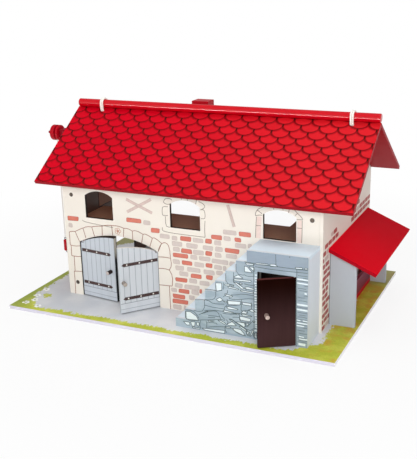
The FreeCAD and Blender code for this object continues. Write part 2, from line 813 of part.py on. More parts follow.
def all_pieces():
    """Every piece by its node's name."""
    left_post_x, right_post_x = post_places()
    left_tie_x, right_tie_x = tie_middles()
    screws = wall_screws()
    pieces = {
        "base_board": base_board(),
        "front_wall": front_wall(),
        "left_gable": left_gable(),
        "right_gable": gable(inner_right_x),
        "corner_post_left": corner_post(left_post_x).cut(screws),
        "corner_post_right": corner_post(right_post_x).cut(screws),
        "wall_screws": screws,
        "loft_floor": loft_floor(),
        "loft_rail_front": loft_rail_front(),
        "loft_rail_left": loft_rail_side(inner_left_x, gallery_back_y),
        "loft_rail_right": loft_rail_side(inner_right_x - loft_rail_depth, barn_back_y),
        "ridge_pole": ridge_pole(),
        "roof_tie_left": roof_tie(left_tie_x),
        "roof_tie_right": roof_tie(right_tie_x),
        "front_roof_panel": front_roof_panel(),
        "back_roof_panel": back_roof_panel(),
        "chimney": chimney(),
        "stair_front": stair_front(),
        "stair_treads": stair_treads(),
        "stair_risers": stair_risers(),
        "landing_board": landing_board(),
        "annex_side": annex_side(),
        "lean_to_roof": lean_to_roof(),
        "lean_to_near_side": lean_to_side(lean_near_y),
        "lean_to_far_side": lean_to_side(lean_far_y - wall_thickness),
        "lean_to_cleat": lean_to_cleat(),
        "manger_board": manger_board(),
        "hoist_beam": hoist_beam_stock().cut(hoist_axle()),
        "hoist_axle": hoist_axle(),
        "hoist_wheel": hoist_wheel(),
        "hoist_wrap": hoist_wrap(),
        "hoist_cord": hoist_cord(),
        "hook_weight": hook_weight(),
        "hook_eye": hook_eye(),
        "hook_tip": hook_tip(),
    }
    leaves = {
        "left_barn_door": ("left_door", barn_leaf(left_hinge, RIGHT, left_leaf_reach, -left_door_rest_angle)),
        "right_barn_door": ("right_door", barn_leaf(right_hinge, -RIGHT, right_leaf_reach,
                                                    right_door_rest_angle)),
        "small_door": ("small_door", flat_leaf(small_hinge, -RIGHT, small_leaf_reach, -BACK,
                                               small_knob_height, small_door_rest_angle)),
        "loft_hatch": ("loft_hatch", flat_leaf(hatch_hinge, -BACK, hatch_leaf_reach, -RIGHT,
                                               hatch_low_z + hatch_knob_height, 0)),
    }
    for node, (stem, (leaf, grip, pins)) in leaves.items():
        pieces.update({node: leaf, stem + "_knob": grip, stem + "_pins": pins})
    return pieces


os.makedirs("parts", exist_ok=True)
for name, shape in all_pieces().items():
    shape.exportStep("parts/" + name + ".step")
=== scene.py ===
"""Toy barn: finishes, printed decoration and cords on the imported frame, in metres."""

import json
import math
import random

import bmesh
import bpy
from mathutils import Matrix, Vector


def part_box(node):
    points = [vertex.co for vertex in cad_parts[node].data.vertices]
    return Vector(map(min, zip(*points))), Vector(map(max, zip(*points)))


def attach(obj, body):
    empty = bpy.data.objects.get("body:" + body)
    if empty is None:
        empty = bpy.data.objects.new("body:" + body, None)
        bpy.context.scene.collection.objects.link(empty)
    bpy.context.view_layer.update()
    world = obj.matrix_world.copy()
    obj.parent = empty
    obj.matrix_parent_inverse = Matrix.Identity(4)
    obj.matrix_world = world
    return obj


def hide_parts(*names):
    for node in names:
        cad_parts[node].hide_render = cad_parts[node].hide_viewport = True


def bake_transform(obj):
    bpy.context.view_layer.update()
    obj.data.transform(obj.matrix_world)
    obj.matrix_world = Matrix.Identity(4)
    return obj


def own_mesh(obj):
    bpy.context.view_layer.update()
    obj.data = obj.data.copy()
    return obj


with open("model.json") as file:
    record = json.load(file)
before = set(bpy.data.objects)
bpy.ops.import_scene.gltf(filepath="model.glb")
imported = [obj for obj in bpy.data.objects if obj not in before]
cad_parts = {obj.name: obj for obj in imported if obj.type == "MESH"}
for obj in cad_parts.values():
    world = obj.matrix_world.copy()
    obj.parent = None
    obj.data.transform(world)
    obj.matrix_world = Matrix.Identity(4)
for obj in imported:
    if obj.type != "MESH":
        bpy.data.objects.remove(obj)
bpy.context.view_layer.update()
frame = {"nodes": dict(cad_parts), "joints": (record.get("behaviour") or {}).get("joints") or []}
nodes = frame["nodes"]
joints = {joint["name"]: joint for joint in frame["joints"]}

MM = 0.001
UP = Vector((0, 0, 1))
RIGHT = Vector((1, 0, 0))
FRONT = Vector((0, -1, 0))

# Photograph's camera: place, angles and focal length in pixels of its frame
CAMERA_PLACE = Vector((0.50451, -1.07468, 0.48312))
CAMERA_YAW = math.radians(25.13)
CAMERA_PITCH = math.radians(17.9)
CAMERA_ROLL = math.radians(-1.45)
FOCAL_PIXELS = 824.6
FRAME_LONG_SIDE = 459
SENSOR = 36.0

# Places read from the frame
WALL_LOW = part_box("front_wall")[0]
LEFT_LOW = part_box("left_gable")[0]
RIGHT_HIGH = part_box("right_gable")[1]
STAIR_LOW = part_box("stair_front")[0]
STORE_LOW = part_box("landing_board")[0]
BASE_LOW, BASE_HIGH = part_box("base_board")
MANGER_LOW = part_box("manger_board")[0]
ROOF_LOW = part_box("front_roof_panel")[0]
LEAF_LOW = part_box("left_barn_door")[0]
POLE_LOW, POLE_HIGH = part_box("ridge_pole")
RIDGE_Y = (POLE_LOW.y + POLE_HIGH.y) / 2
POLE_Z = (POLE_LOW.z + POLE_HIGH.z) / 2
POLE_RADIUS = (POLE_HIGH.z - POLE_LOW.z) / 2

# Slope of the roof and back of the barn, as the solids have them
ROOF_SLOPE = math.radians(34.15)
BARN_BACK_Y = 150 * MM

# Ways that the leaves face in the rest pose, in degrees from the front
LEFT_DOOR_TURN = -7.5
RIGHT_DOOR_TURN = 50
SMALL_DOOR_TURN = 31
HATCH_TURN = -90

# Tiles printed on the roof: their rows, round ends and lines
TILE_ROW = 13.2 * MM
TILE_WIDTH = 26.5 * MM
TILE_SHIFT = 2.5 * MM
TILE_SCALLOP = 0.8
TILE_ROWS = 12
TILE_END_MARGIN = 2.05 * MM
TILE_LINE = 2.4 * MM
TILE_SEAM = 2.2 * MM
TILE_LEAN = -0.42

# Planks, straps and rivets of the barn doors, with the straps in millimetres from hinge and middle
PLANK = 8.9 * MM
RAIL_TOP = 21 * MM
RAIL_MIDDLE = 12.5 * MM
STRAP_OUTLINE = ((0.6, -2.5), (49, -2.3), (52, -2.6), (55.5, 0), (52, 2.6), (49, 2.3), (0.6, 2.5))
STRAP_HEIGHTS = (79, 28)
RIVET_REACHES = (9.5, 28.5, 47.5)
RIVET_RADIUS = 1.15 * MM
RIVET_PROFILE = ((-0.08, 1.0), (0.18, 0.92), (0.34, 0.6))
RIVET_SIDES = 12
LEAF_HALF = 2.5 * MM

# Roof ties and hoist cord, as the solids have them
TIE_LEFT_X = -182.95 * MM
TIE_RIGHT_X = 213.05 * MM
TIE_HALF_GAP = 1.45 * MM
TIE_RADIUS = 1.4 * MM
TIE_REACH = 7.55 * MM
TIE_BEND_Z = 271.673 * MM
TIE_STRAIGHT = 4.0 * MM
TIE_KNOT = 8.2 * MM
TIE_END = 10.7 * MM
HOIST_X = -272.8 * MM
HOIST_Z = 227.969 * MM
HOOK_TOP_Z = 51.2 * MM
CORD_RADIUS = 0.8 * MM
WRAP_RADIUS = 4.9 * MM
WRAP_TURN = math.radians(250)
WRAP_STEP = math.radians(25)

# Twist and knots of the cords, and the paint bead under the pole
STRANDS = 3
CORD_PITCH = 4.0 * MM
CORD_SIDES = 12
CORD_EASE = 10 * MM
TIE_PITCH = 6.5 * MM
TIE_SIDES = 18
TIE_KNOT_RADIUS = 2.15 * MM
TIE_KNOT_HEIGHT = 2.1 * MM
WRAP_KNOT_RADIUS = 0.5 * MM
WRAP_KNOT_LENGTH = 1.2 * MM
WRAP_KNOT_CORD = 0.75 * MM
BEAD_ROOT = 0.05 * MM
BEAD_THICKNESS = 0.44 * MM
BEAD_INSET = 0.9 * MM

# Printed bricks, in millimetres: their height, spacing, rims and the courses of the gables
BRICK_HEIGHT = 6.0
BRICK_PITCH = 8.8
BRICK_INSET = 0.3
BRICK_RIM = 0.7
BRICK_LENGTHS = (10, 14, 15, 16)
COURSE_FOOT = 7.4
COURSE_SHIFT = 8

# Places of the front wall's bricks: left, right and middle height in millimetres
RED_BRICKS = (
    (91, 108, 133), (49, 66, 124), (84, 94, 124), (-45, -31, 123), (1, 18, 116), (40, 50, 117),
    (69, 91, 107), (2, 19, 98), (40, 50, 99), (-11, 13, 90), (2, 19, 80), (40, 50, 81), (16, 33, 62),
    (40, 50, 63), (-9, 10, 53), (-4, 13, 36), (29, 33, 40), (-14, 6, 27), (-15, 10, 19),
    (-186, -167, 126), (-85, -60, 134),
)
GREY_BRICKS = (
    (67, 87, 133), (68, 78, 124), (-31, -16, 116), (-12, -3, 115), (21, 37, 116), (54, 64, 116),
    (85, 101, 116), (104, 109, 117), (-12, 4, 107), (10, 28, 107), (36, 52, 107), (55, 66, 107),
    (-11, 0, 99), (21, 37, 98), (54, 64, 98), (71, 87, 99), (16, 27, 90), (30, 47, 90), (49, 74, 89),
    (76, 84, 88), (-12, -1, 80), (22, 37, 80), (53, 64, 80), (66, 71, 80), (-8, 5, 71), (11, 31, 71),
    (36, 53, 71), (56, 66, 72), (-2, 12, 63), (13, 25, 54), (29, 45, 53), (-10, 2, 44), (5, 29, 44),
    (-16, -7, 36), (16, 28, 37), (12, 21, 28), (-14, -1, 10), (3, 7, 11), (-186, -179, 115),
    (-57, -46, 133),
)

# Stone outlines on the front wall, in millimetres
ARCH_LINES = (
    ((-168.5, 91), (-175, 106)), ((-156.5, 97.5), (-160.5, 113)), ((-141, 102), (-145, 116.5)),
    ((-127.5, 105), (-127, 119.5)), ((-109.5, 107), (-110.5, 122)), ((-91.5, 107), (-90, 120)),
    ((-76, 104.5), (-76, 117.5)), ((-61.5, 101.5), (-58.5, 115)), ((-48.5, 97), (-43.5, 111)),
    ((-35, 91.5), (-29, 105)), ((-185.5, 104), (-181.5, 105.5), (-175, 106)),
    ((-175, 106), (-163.5, 112), (-160.5, 113)), ((-160.5, 113), (-154, 116), (-145, 116.5)),
    ((-145, 116.5), (-137, 118.5), (-127, 119.5)), ((-127, 119.5), (-119.5, 122), (-110.5, 122.5)),
    ((-110.5, 122.5), (-99, 123), (-90, 120.5)), ((-90, 120.5), (-83.5, 121), (-76, 118)),
    ((-76, 118), (-69.5, 119.5), (-58.5, 115)), ((-58.5, 115), (-54, 116), (-43.5, 111)),
    ((-43.5, 111), (-39.5, 112), (-29, 105)), ((-185.5, 104), (-185.5, 83.5)),
    ((-185.5, 83.5), (-178, 82.5), (-168, 84)), ((-184, 82.5), (-184.5, 66.5)),
    ((-184.5, 66.5), (-176, 66), (-168, 67)), ((-180, 66), (-180.5, 42)),
    ((-182, 41.5), (-175, 42.5), (-168, 43)), ((-182, 41.5), (-182, 24), (-182.5, 5)),
    ((-35, 92), (-33, 98), (-28.5, 105.5), (-21, 107), (-16.5, 100.5), (-15.5, 84)),
    ((-35.5, 83.5), (-25, 84.5), (-15.5, 84)), ((-15.5, 84), (-14, 73), (-18, 66)),
    ((-35.5, 66), (-26, 67), (-18, 65.5)), ((-18, 65.5), (-13, 56.5), (-14.5, 41.5)),
    ((-35.5, 40.5), (-24, 41), (-14.5, 41.5)), ((-19, 41), (-19, 20.5), (-18.5, 5)),
)
WINDOW_LINES = (
    ((-160.5, 125.5), (-158, 123.5), (-143.5, 122), (-130.5, 121), (-108, 119.5)),
    ((-11.5, 166), (-14.5, 164), (-20, 164), (-23, 166.5), (-23, 167.5), (-21, 171), (-17.5, 172.5),
     (-12, 172.5), (-9.5, 170.5)),
    ((-16.5, 160.5), (-24, 160), (-25.5, 157.5), (-26, 148.5), (-24, 146.5), (-17, 147.5)),
    ((-21, 146), (-21, 132), (-17, 130.5), (-14.5, 130.5)),
    ((-26.5, 129), (-27, 124.5), (-24, 123.5), (-15.5, 122.5), (2, 122), (20, 122), (40, 122)),
    ((40.5, 146), (39.5, 134), (40, 122)),
    ((31.5, 172.5), (37, 171), (40.5, 168), (40.5, 165), (38, 163), (34, 161)),
    ((34, 161), (38, 162), (40.5, 159.5), (41, 150.5), (39, 148.5), (34.5, 148.5)),
    ((14.5, 178), (14.5, 172.5)), ((5.5, 178), (5, 173)), ((28.5, 175.5), (27, 168.5)),
    ((115, 161.5), (115.5, 166), (117.5, 169.5), (121.5, 172.5), (126.5, 174.5)),
    ((117.5, 169.5), (124.5, 165)), ((115, 161), (119, 162.5), (125, 163)),
    ((116.5, 160), (115.5, 145), (115, 130)), ((141, 177.5), (141, 172.5)),
    ((153.5, 177.5), (154, 172.5)), ((163, 176), (161.5, 170)),
    ((170, 174.5), (174, 170.5), (179.5, 166), (181, 163)), ((174, 170.5), (170.5, 167)),
    ((181, 162.5), (173, 162)), ((180.5, 161.5), (180.5, 145), (180, 130.5)),
    ((173.5, 150.5), (180, 150.5)), ((116, 147.5), (123, 148)),
)
WINDOW_JAMBS = (
    ((117, 160.5), (124, 161), (122.5, 130), (115.5, 130)),
    ((174, 161), (180, 161.5), (180, 130.5), (173.5, 130.5)),
)
TIMBER_WIDTH = 3.6
TIMBERS = (
    ((-83.5, 165), (-42, 148.5)), ((-83, 146), (-43, 168.5)), ((75, 172), (84, 142)),
)

# Stones on the stair's front, in millimetres
PALE_STONES = (
    ((77, 78), (86, 79), (86, 69), (78, 66)), ((31.5, 29.5), (38, 30), (47, 25), (50, 19), (31.5, 18)),
    ((27, 14), (36, 14), (37, 10), (32, 9)), ((38, 15), (45, 16), (44, 9), (40, 9)),
    ((47.5, 16), (51, 16), (50.5, 10), (47, 12)), ((40, 7.5), (52, 8), (52, 6), (41, 6)),
    ((55, 8.5), (89, 10.5), (89, 6), (60, 6)), ((64, 21.5), (74, 22), (66, 19.5)),
    ((79, 24), (83, 24.5), (90.5, 21.5), (89, 19.5)),
    ((92.5, 20.5), (100, 25.5), (106.5, 20.5), (94.5, 19)),
    ((103.5, 25.5), (109, 26.5), (118, 26.5), (119, 22), (117, 19.5), (111, 22.5)),
    ((95.5, 28.5), (99, 29), (103.5, 27), (100, 26)), ((90.5, 16), (98, 17), (97, 15), (91.5, 14.5)),
    ((100.5, 15), (103.5, 16.5), (112.5, 16), (119, 9), (115, 8.5), (104.5, 12)),
    ((110, 20), (112.5, 21), (119.5, 17.5), (121.5, 15), (119, 15)),
    ((120.5, 14), (125, 14.5), (122.5, 9.5)), ((129.5, 18), (131.5, 17.5), (128, 9.5), (126, 9)),
    ((133, 15.5), (136, 15.5), (135.5, 6.5), (132, 8.5)), ((120, 26.5), (125, 26.5), (121.5, 23)),
    ((129.5, 31.5), (133.5, 31), (131.5, 28.5)),
    ((111, 34.5), (113.5, 35.5), (127, 34), (127, 30.5), (124.5, 29.5), (112, 30)),
    ((113.5, 38.5), (117.5, 39), (129, 38), (128, 37), (115.5, 36.5)),
    ((113, 40), (117, 44), (122, 42.5), (121, 40)), ((102, 37.5), (111, 39), (109, 37)),
    ((123, 46), (129, 48), (134, 45), (129, 44)), ((87.5, 53.5), (92.5, 53.5), (92, 51)),
    ((77, 54), (83, 58), (87.5, 54.5), (82, 51.5)), ((94, 55), (113, 56.5), (112, 51.5), (95, 49.5)),
    ((115, 56), (128, 56), (128, 52.5), (116, 52.5)),
    ((92, 46), (96, 46.5), (109.5, 45), (107.5, 43.5), (95, 43)),
    ((87, 39.5), (90, 40.5), (103, 39), (102, 38), (88.5, 37.5)),
    ((90, 64.5), (102, 62.5), (100, 61), (91, 61.5)), ((103, 83), (106.5, 83), (118.5, 76), (115, 74.5)),
    ((111.5, 83.5), (116, 82), (115, 81), (112, 81)), ((104, 90.5), (110, 94), (117, 90), (105, 89)),
    ((104, 87.5), (128, 88.5), (128, 86), (104, 85)),
    ((94.5, 75.5), (98, 75.5), (111, 74), (109.5, 72.5), (95.5, 73.5)),
    ((99, 78), (103.5, 78), (103, 76.5), (99.5, 76.5)), ((112, 73), (131, 72.5), (131, 70.5), (114, 71)),
    ((119, 78), (124, 79), (132, 77.5), (132, 75.5), (121, 75.5)),
    ((90, 78), (98, 79), (97, 76.5), (91, 76)), ((119, 107.5), (123, 107), (130, 99.5), (119, 99.5)),
    ((120, 112), (133, 112), (132, 110), (122, 109.5)), ((125, 107.5), (133, 107), (132.5, 101)),
    ((154, 114.5), (161, 115.5), (165, 113), (155, 111.5)),
    ((135, 114), (152, 114.5), (152, 113), (135, 112)),
    ((188, 115), (198, 115.5), (198, 113.5), (189, 113)),
    ((200.5, 115.5), (205, 115.5), (205, 114), (200.5, 113.5)),
    ((55.5, 30), (62, 34.5), (65, 35.5), (62, 33)),
)
STACKED_STONES = (
    (98.5, 100.5, 190.5, 205.5), (93, 95, 190.5, 205.5), (79.5, 82, 201, 204), (63.5, 66, 191, 205.5),
    (56.5, 59, 190.5, 205.5), (42, 43.5, 190.5, 196), (42, 43.5, 199, 205.5), (38, 40, 190.5, 205.5),
    (34.5, 36, 190.5, 201), (19.5, 21, 194, 201), (16, 18, 194.5, 205.5), (7.5, 11, 193.5, 203),
)
STRIP_LINES = (
    (113, 190.5, 203), (104.5, 192, 205), (101.5, 199, 205.5), (97, 190.5, 205.5), (91.5, 200, 205.5),
    (87, 192, 203), (84, 194, 205), (77.5, 200, 205.5), (75, 192, 202), (70, 193, 205),
    (61.5, 191, 205.5), (54, 192, 205), (50.5, 194, 203), (47.5, 192, 205), (44.5, 190.5, 205.5),
    (41, 192, 205), (37, 192, 205), (33, 199, 205.5), (29, 192, 202), (25, 194, 205), (18.5, 192, 204),
    (15, 193, 205), (12.5, 192, 205),
)
STONE_JOINTS = (
    ((103.5, 96.5), (103, 82.5)), ((118, 95.5), (122, 93.5), (130, 94.5), (133, 95.5)),
    ((103, 82.5), (109, 83), (114.5, 78.5), (119.5, 75.5), (121.5, 74.5)),
    ((88.5, 80), (89, 76.5), (88, 70)), ((94, 70), (94.5, 65.5), (88, 59.5)),
    ((118, 82.5), (127.5, 81.5), (133.5, 82.5)), ((99.5, 64), (107.5, 65), (115.5, 68), (132, 67.5)),
    ((96.5, 61), (96.5, 57.5), (112, 59), (121.5, 62), (131.5, 63)),
    ((93.5, 57), (94, 48), (89.5, 45.5), (89, 40.5)), ((114, 59.5), (114.5, 52), (113, 46), (114, 43)),
    ((94, 47.5), (104.5, 49.5), (114.5, 52.5)),
    ((128, 57.5), (129, 52), (127.5, 46.5), (122.5, 45.5), (123, 41)), ((114, 43), (122.5, 45.5)),
    ((103.5, 38.5), (111, 39.5), (113, 38.5)), ((111, 38), (111, 27), (119.5, 28), (127.5, 28.5)),
    ((86.5, 35.5), (95.5, 35.5), (104, 37)), ((101, 32), (109.5, 33.5), (111, 32.5)),
    ((95.5, 29), (104.5, 26.5), (120, 19), (122.5, 15)),
    ((119, 28), (120, 19), (126.5, 27), (129.5, 30.5)), ((121, 18), (126.5, 17)),
    ((91.5, 27), (95, 24), (91.5, 19), (89.5, 16.5), (89.5, 11.5), (92, 8)), ((125, 14.5), (124.5, 9)),
    ((89.5, 16.5), (98.5, 17), (104, 11.5), (112.5, 8.5), (120, 8)), ((120, 15.5), (121, 9), (127, 8.5)),
    ((126.5, 17), (132, 21), (135, 22)), ((131, 16), (130.5, 8.5), (134, 5.5)),
    ((30.5, 30), (30, 16), (49.5, 18.5), (52, 20)), ((30, 31.5), (41, 32.5), (47, 28.5), (51, 22)),
    ((46, 49), (60, 51), (67.5, 50.5), (72.5, 47), (89, 49)), ((60, 51), (59.5, 35), (50, 32), (43, 33)),
    ((59.5, 43.5), (68.5, 42), (77.5, 42), (89, 42)), ((59.5, 35), (74.5, 38), (89, 38.5)),
    ((51, 27.5), (58.5, 32), (66, 34.5), (75.5, 37.5), (80, 35.5), (82, 30), (83.5, 26)),
    ((52, 20), (64, 22), (77.5, 25), (83.5, 26), (89.5, 25.5)), ((83.5, 33.5), (86.5, 29), (90, 27)),
    ((61.5, 20), (63, 15), (61.5, 10.5)), ((53.5, 19.5), (51.5, 12.5), (53.5, 8)),
    ((61, 10.5), (74.5, 14), (89.5, 16)), ((65, 28.5), (74, 29.5), (81.5, 29.5)), ((64.5, 26), (75, 27)),
    ((63, 17.5), (76, 20), (78, 17.5)), ((61, 66.5), (77, 67.5), (77.5, 66), (86.5, 68.5)),
    ((77, 65.5), (77, 56.5), (70, 52), (60.5, 51.5)),
)
STAIR_LINES = (
    ((134.5, 112), (155, 112.5), (190, 112.5), (205, 113)), ((133.5, 108.5), (160, 107.5), (205, 109)),
    ((162, 129), (162.5, 115)), ((181, 129), (181, 126.5)), ((190.5, 113), (190.5, 5.5)),
    ((133.5, 113), (119, 113.5)), ((131.5, 112), (132, 60), (131.5, 6)),
    ((92, 93.5), (92, 79), (104, 78.5)), ((107, 109), (107, 95), (118, 94.5)),
)

# Rosette on the keystone, thin stones by the store's doorway and stones over the left one, in millimetres
ROSETTE_MIDDLE = (-100.5, 115.0)
ROSETTE_REACH = 3.2
ROSETTE_PETALS = 5
THIN_STONES = 25
THIN_STONE_PITCH = 3.55
ARCH_STONES = 6
ARCH_STONE_LENGTH = 14.5

# Reveal of the store's doorway, painted dark as shade
REVEAL_LEFT = 130 * MM
REVEAL_RIGHT = 190 * MM
REVEAL_TOP = 108 * MM

# White flowers in the grass: places on the base in millimetres
FLOWERS = ((-233, -153), (-227, -140), (-233.5, -124), (-234.5, -99.5), (-208.5, -158))
FLOWER_PETALS = 5

# Grass: a tuft, the widths of its strips, and a point on each slanting rim
TUFT = Vector((-218, -119, 0)) * MM
TUFT_RADIUS = 6 * MM
GRASS_FRONT = 12.5 * MM
GRASS_LEFT = 10 * MM
GRASS_BACK = 14 * MM
LEFT_CORNER = Vector((-237, -122, 0)) * MM
RIGHT_CORNER = Vector((185, -155, 0)) * MM
BACK_CORNER = Vector((-216, 150, 0)) * MM
SLANT = 0.707

# Boards have their edges eased by this much, and paint films have this much relief
EDGE_EASE = 0.4 * MM
EASE_ANGLE = math.radians(50)
WELD_REACH = 0.005 * MM
FILM_RELIEF = 0.05 * MM

# Printed plates stand this far out of the board, lines a little further, and both reach this far into it
INK = 0.10 * MM
INK_OVER = 0.18 * MM
INK_ROOT = 0.05 * MM

# A surface begins to face a way at the first share of its normal, and does so in full at the second
FACE_FROM = 0.4
FACE_FULL = 0.6

# Stage in metres: the floor, and for each lamp its name, place, target, size and power in watts
FLOOR_HALF = 6.0
FLOOR_DROP = 0.2 * MM
SHADOW_NEAR = 0.35
SHADOW_FAR = 0.75
LAMPS = (
    ("key", (0.85, -1.65, 0.95), (0, -0.05, 0.12), (1.0, 1.0), 17.5),
    ("fill", (-1.5, -1.2, 1.0), (0, 0, 0.12), (1.2, 1.2), 7),
    ("top", (0.1, 0.1, 2.0), (0, 0, 0.1), (1.4, 1.4), 15),
    ("back", (-0.8, 1.6, 0.6), (0, 0.1, 0.12), (1.0, 1.0), 4),
)
CARD = ("card", (0.05, -0.55, 0.02), (0, 0.02, 0.28), (1.2, 0.07), 8.0)


def ink(red, green, blue):
    """Colour from its 0 to 255 screen values."""
    def linear(value):
        share = value / 255
        return share / 12.92 if share <= 0.04045 else ((share + 0.055) / 1.055) ** 2.4

    return linear(red), linear(green), linear(blue), 1.0


class Field:
    """A number that varies over a surface: a socket whose arithmetic adds Math nodes."""

    def __init__(self, tree, socket):
        self.tree = tree
        self.socket = socket

    def op(self, operation, *others):
        node = self.tree.nodes.new("ShaderNodeMath")
        node.operation = operation
        for slot, value in zip(node.inputs, (self,) + others):
            if isinstance(value, Field):
                self.tree.links.new(value.socket, slot)
            else:
                slot.default_value = value
        return Field(self.tree, node.outputs[0])

    def __add__(self, other):
        return self.op("ADD", other)

    def __sub__(self, other):
        return self.op("SUBTRACT", other)

    def __mul__(self, other):
        return self.op("MULTIPLY", other)

    def __truediv__(self, other):
        return self.op("DIVIDE", other)

    def floor(self):
        return self.op("FLOOR")

    def frac(self):
        return self.op("FRACT")

    def abs(self):
        return self.op("ABSOLUTE")

    def sqrt(self):
        return self.op("SQRT")

    def least(self, other):
        return self.op("MINIMUM", other)

    def most(self, other):
        return self.op("MAXIMUM", other)

    def invert(self):
        return self * -1 + 1

    def rise(self, low, high):
        """0 below low, 1 above high and smooth between; falls if low is above high."""
        node = self.tree.nodes.new("ShaderNodeMapRange")
        node.interpolation_type = "SMOOTHSTEP"
        self.tree.links.new(self.socket, node.inputs["Value"])
        node.inputs["From Min"].default_value = low
        node.inputs["From Max"].default_value = high
        return Field(self.tree, node.outputs["Result"])

    def faces(self, way=1):
        """For a part of the normal: 1 where the surface faces along it, or against it if way is -1."""
        return self.rise(FACE_FROM * way, FACE_FULL * way)

    def line(self, width):
        """1 where the value is near zero, over a line of that width."""
        return self.abs().rise(width * 0.75, width * 0.25)


class Paint:
    """A material under way: its shader, the place on the surface and helpers for patterns."""

    def __init__(self, name, roughness=0.5, specular=0.2):
        self.material = bpy.data.materials.new(name)
        self.material.use_nodes = True
        self.tree = self.material.node_tree
        self.shader = self.tree.nodes["Principled BSDF"]
        self.shader.inputs["Roughness"].default_value = roughness
        self.shader.inputs["Specular IOR Level"].default_value = specular
        place = self.tree.nodes.new("ShaderNodeTexCoord")
        self.place = place.outputs["Object"]
        self.x, self.y, self.z = self.split(self.place)
        self.nx, self.ny, self.nz = self.split(place.outputs["Normal"])

    def split(self, socket):
        node = self.tree.nodes.new("ShaderNodeSeparateXYZ")
        self.tree.links.new(socket, node.inputs[0])
        return [Field(self.tree, out) for out in node.outputs]

    def noise(self, scale, detail=3.0, stretch=(1, 1, 1)):
        """Cloudy field, scale being its features in a metre."""
        mapping = self.tree.nodes.new("ShaderNodeMapping")
        mapping.inputs["Scale"].default_value = stretch
        self.tree.links.new(self.place, mapping.inputs["Vector"])
        node = self.tree.nodes.new("ShaderNodeTexNoise")
        node.inputs["Scale"].default_value = scale
        node.inputs["Detail"].default_value = detail
        self.tree.links.new(mapping.outputs[0], node.inputs["Vector"])
        return Field(self.tree, node.outputs[0])

    def chance(self, *fields):
        """One random number for each set of whole numbers."""
        join = self.tree.nodes.new("ShaderNodeCombineXYZ")
        for slot, field in zip(join.inputs, fields):
            self.tree.links.new(field.socket, slot)
        node = self.tree.nodes.new("ShaderNodeTexWhiteNoise")
        self.tree.links.new(join.outputs[0], node.inputs["Vector"])
        return Field(self.tree, node.outputs["Value"])

    def mix(self, share, first, second):
        """Colour that goes from the first to the second with a field."""
        node = self.tree.nodes.new("ShaderNodeMix")
        node.data_type = "RGBA"
        self.tree.links.new(share.socket, node.inputs[0])
        for slot, colour in ((node.inputs[6], first), (node.inputs[7], second)):
            if isinstance(colour, tuple):
                slot.default_value = colour
            else:
                self.tree.links.new(colour, slot)
        return node.outputs[2]

    def shade(self, colour, field):
        """Colour made lighter or darker by a field near 1."""
        node = self.tree.nodes.new("ShaderNodeVectorMath")
        node.operation = "SCALE"
        if isinstance(colour, tuple):
            node.inputs[0].default_value = colour[:3]
        else:
            self.tree.links.new(colour, node.inputs[0])
        self.tree.links.new(field.socket, node.inputs["Scale"])
        return node.outputs[0]

    def done(self, colour, rough=None, height=None, depth=0.2 * MM):
        """Ends the material with its colour and, where given, its roughness and relief."""
        self.tree.links.new(colour, self.shader.inputs["Base Color"])
        if rough is not None:
            self.tree.links.new(rough.socket, self.shader.inputs["Roughness"])
        if height is not None:
            bump = self.tree.nodes.new("ShaderNodeBump")
            bump.inputs["Strength"].default_value = 1.0
            bump.inputs["Distance"].default_value = depth
            self.tree.links.new(height.socket, bump.inputs["Height"])
            self.tree.links.new(bump.outputs[0], self.shader.inputs["Normal"])
        return self.material


def mottle(paint, amount, scale=160.0):
    """Brightness near 1 that wanders a little over a painted or printed board."""
    return (paint.noise(scale) - 0.5) * amount + (paint.noise(scale * 9, 2.0) - 0.5) * (amount * 0.6) + 1


def fine_grain(paint):
    """Relief and roughness of a rolled paint film on fibreboard."""
    grain = paint.noise(1400.0, 2.0)
    return grain, (paint.noise(60.0) - 0.5) * 0.12


def painted(name, colour, roughness=0.45, wander=0.06, specular=0.2):
    """Board or turned piece in one paint."""
    paint = Paint(name, roughness, specular)
    grain, cloud = fine_grain(paint)
    body = paint.shade(colour, mottle(paint, wander))
    return paint.done(body, cloud + roughness, grain, FILM_RELIEF)


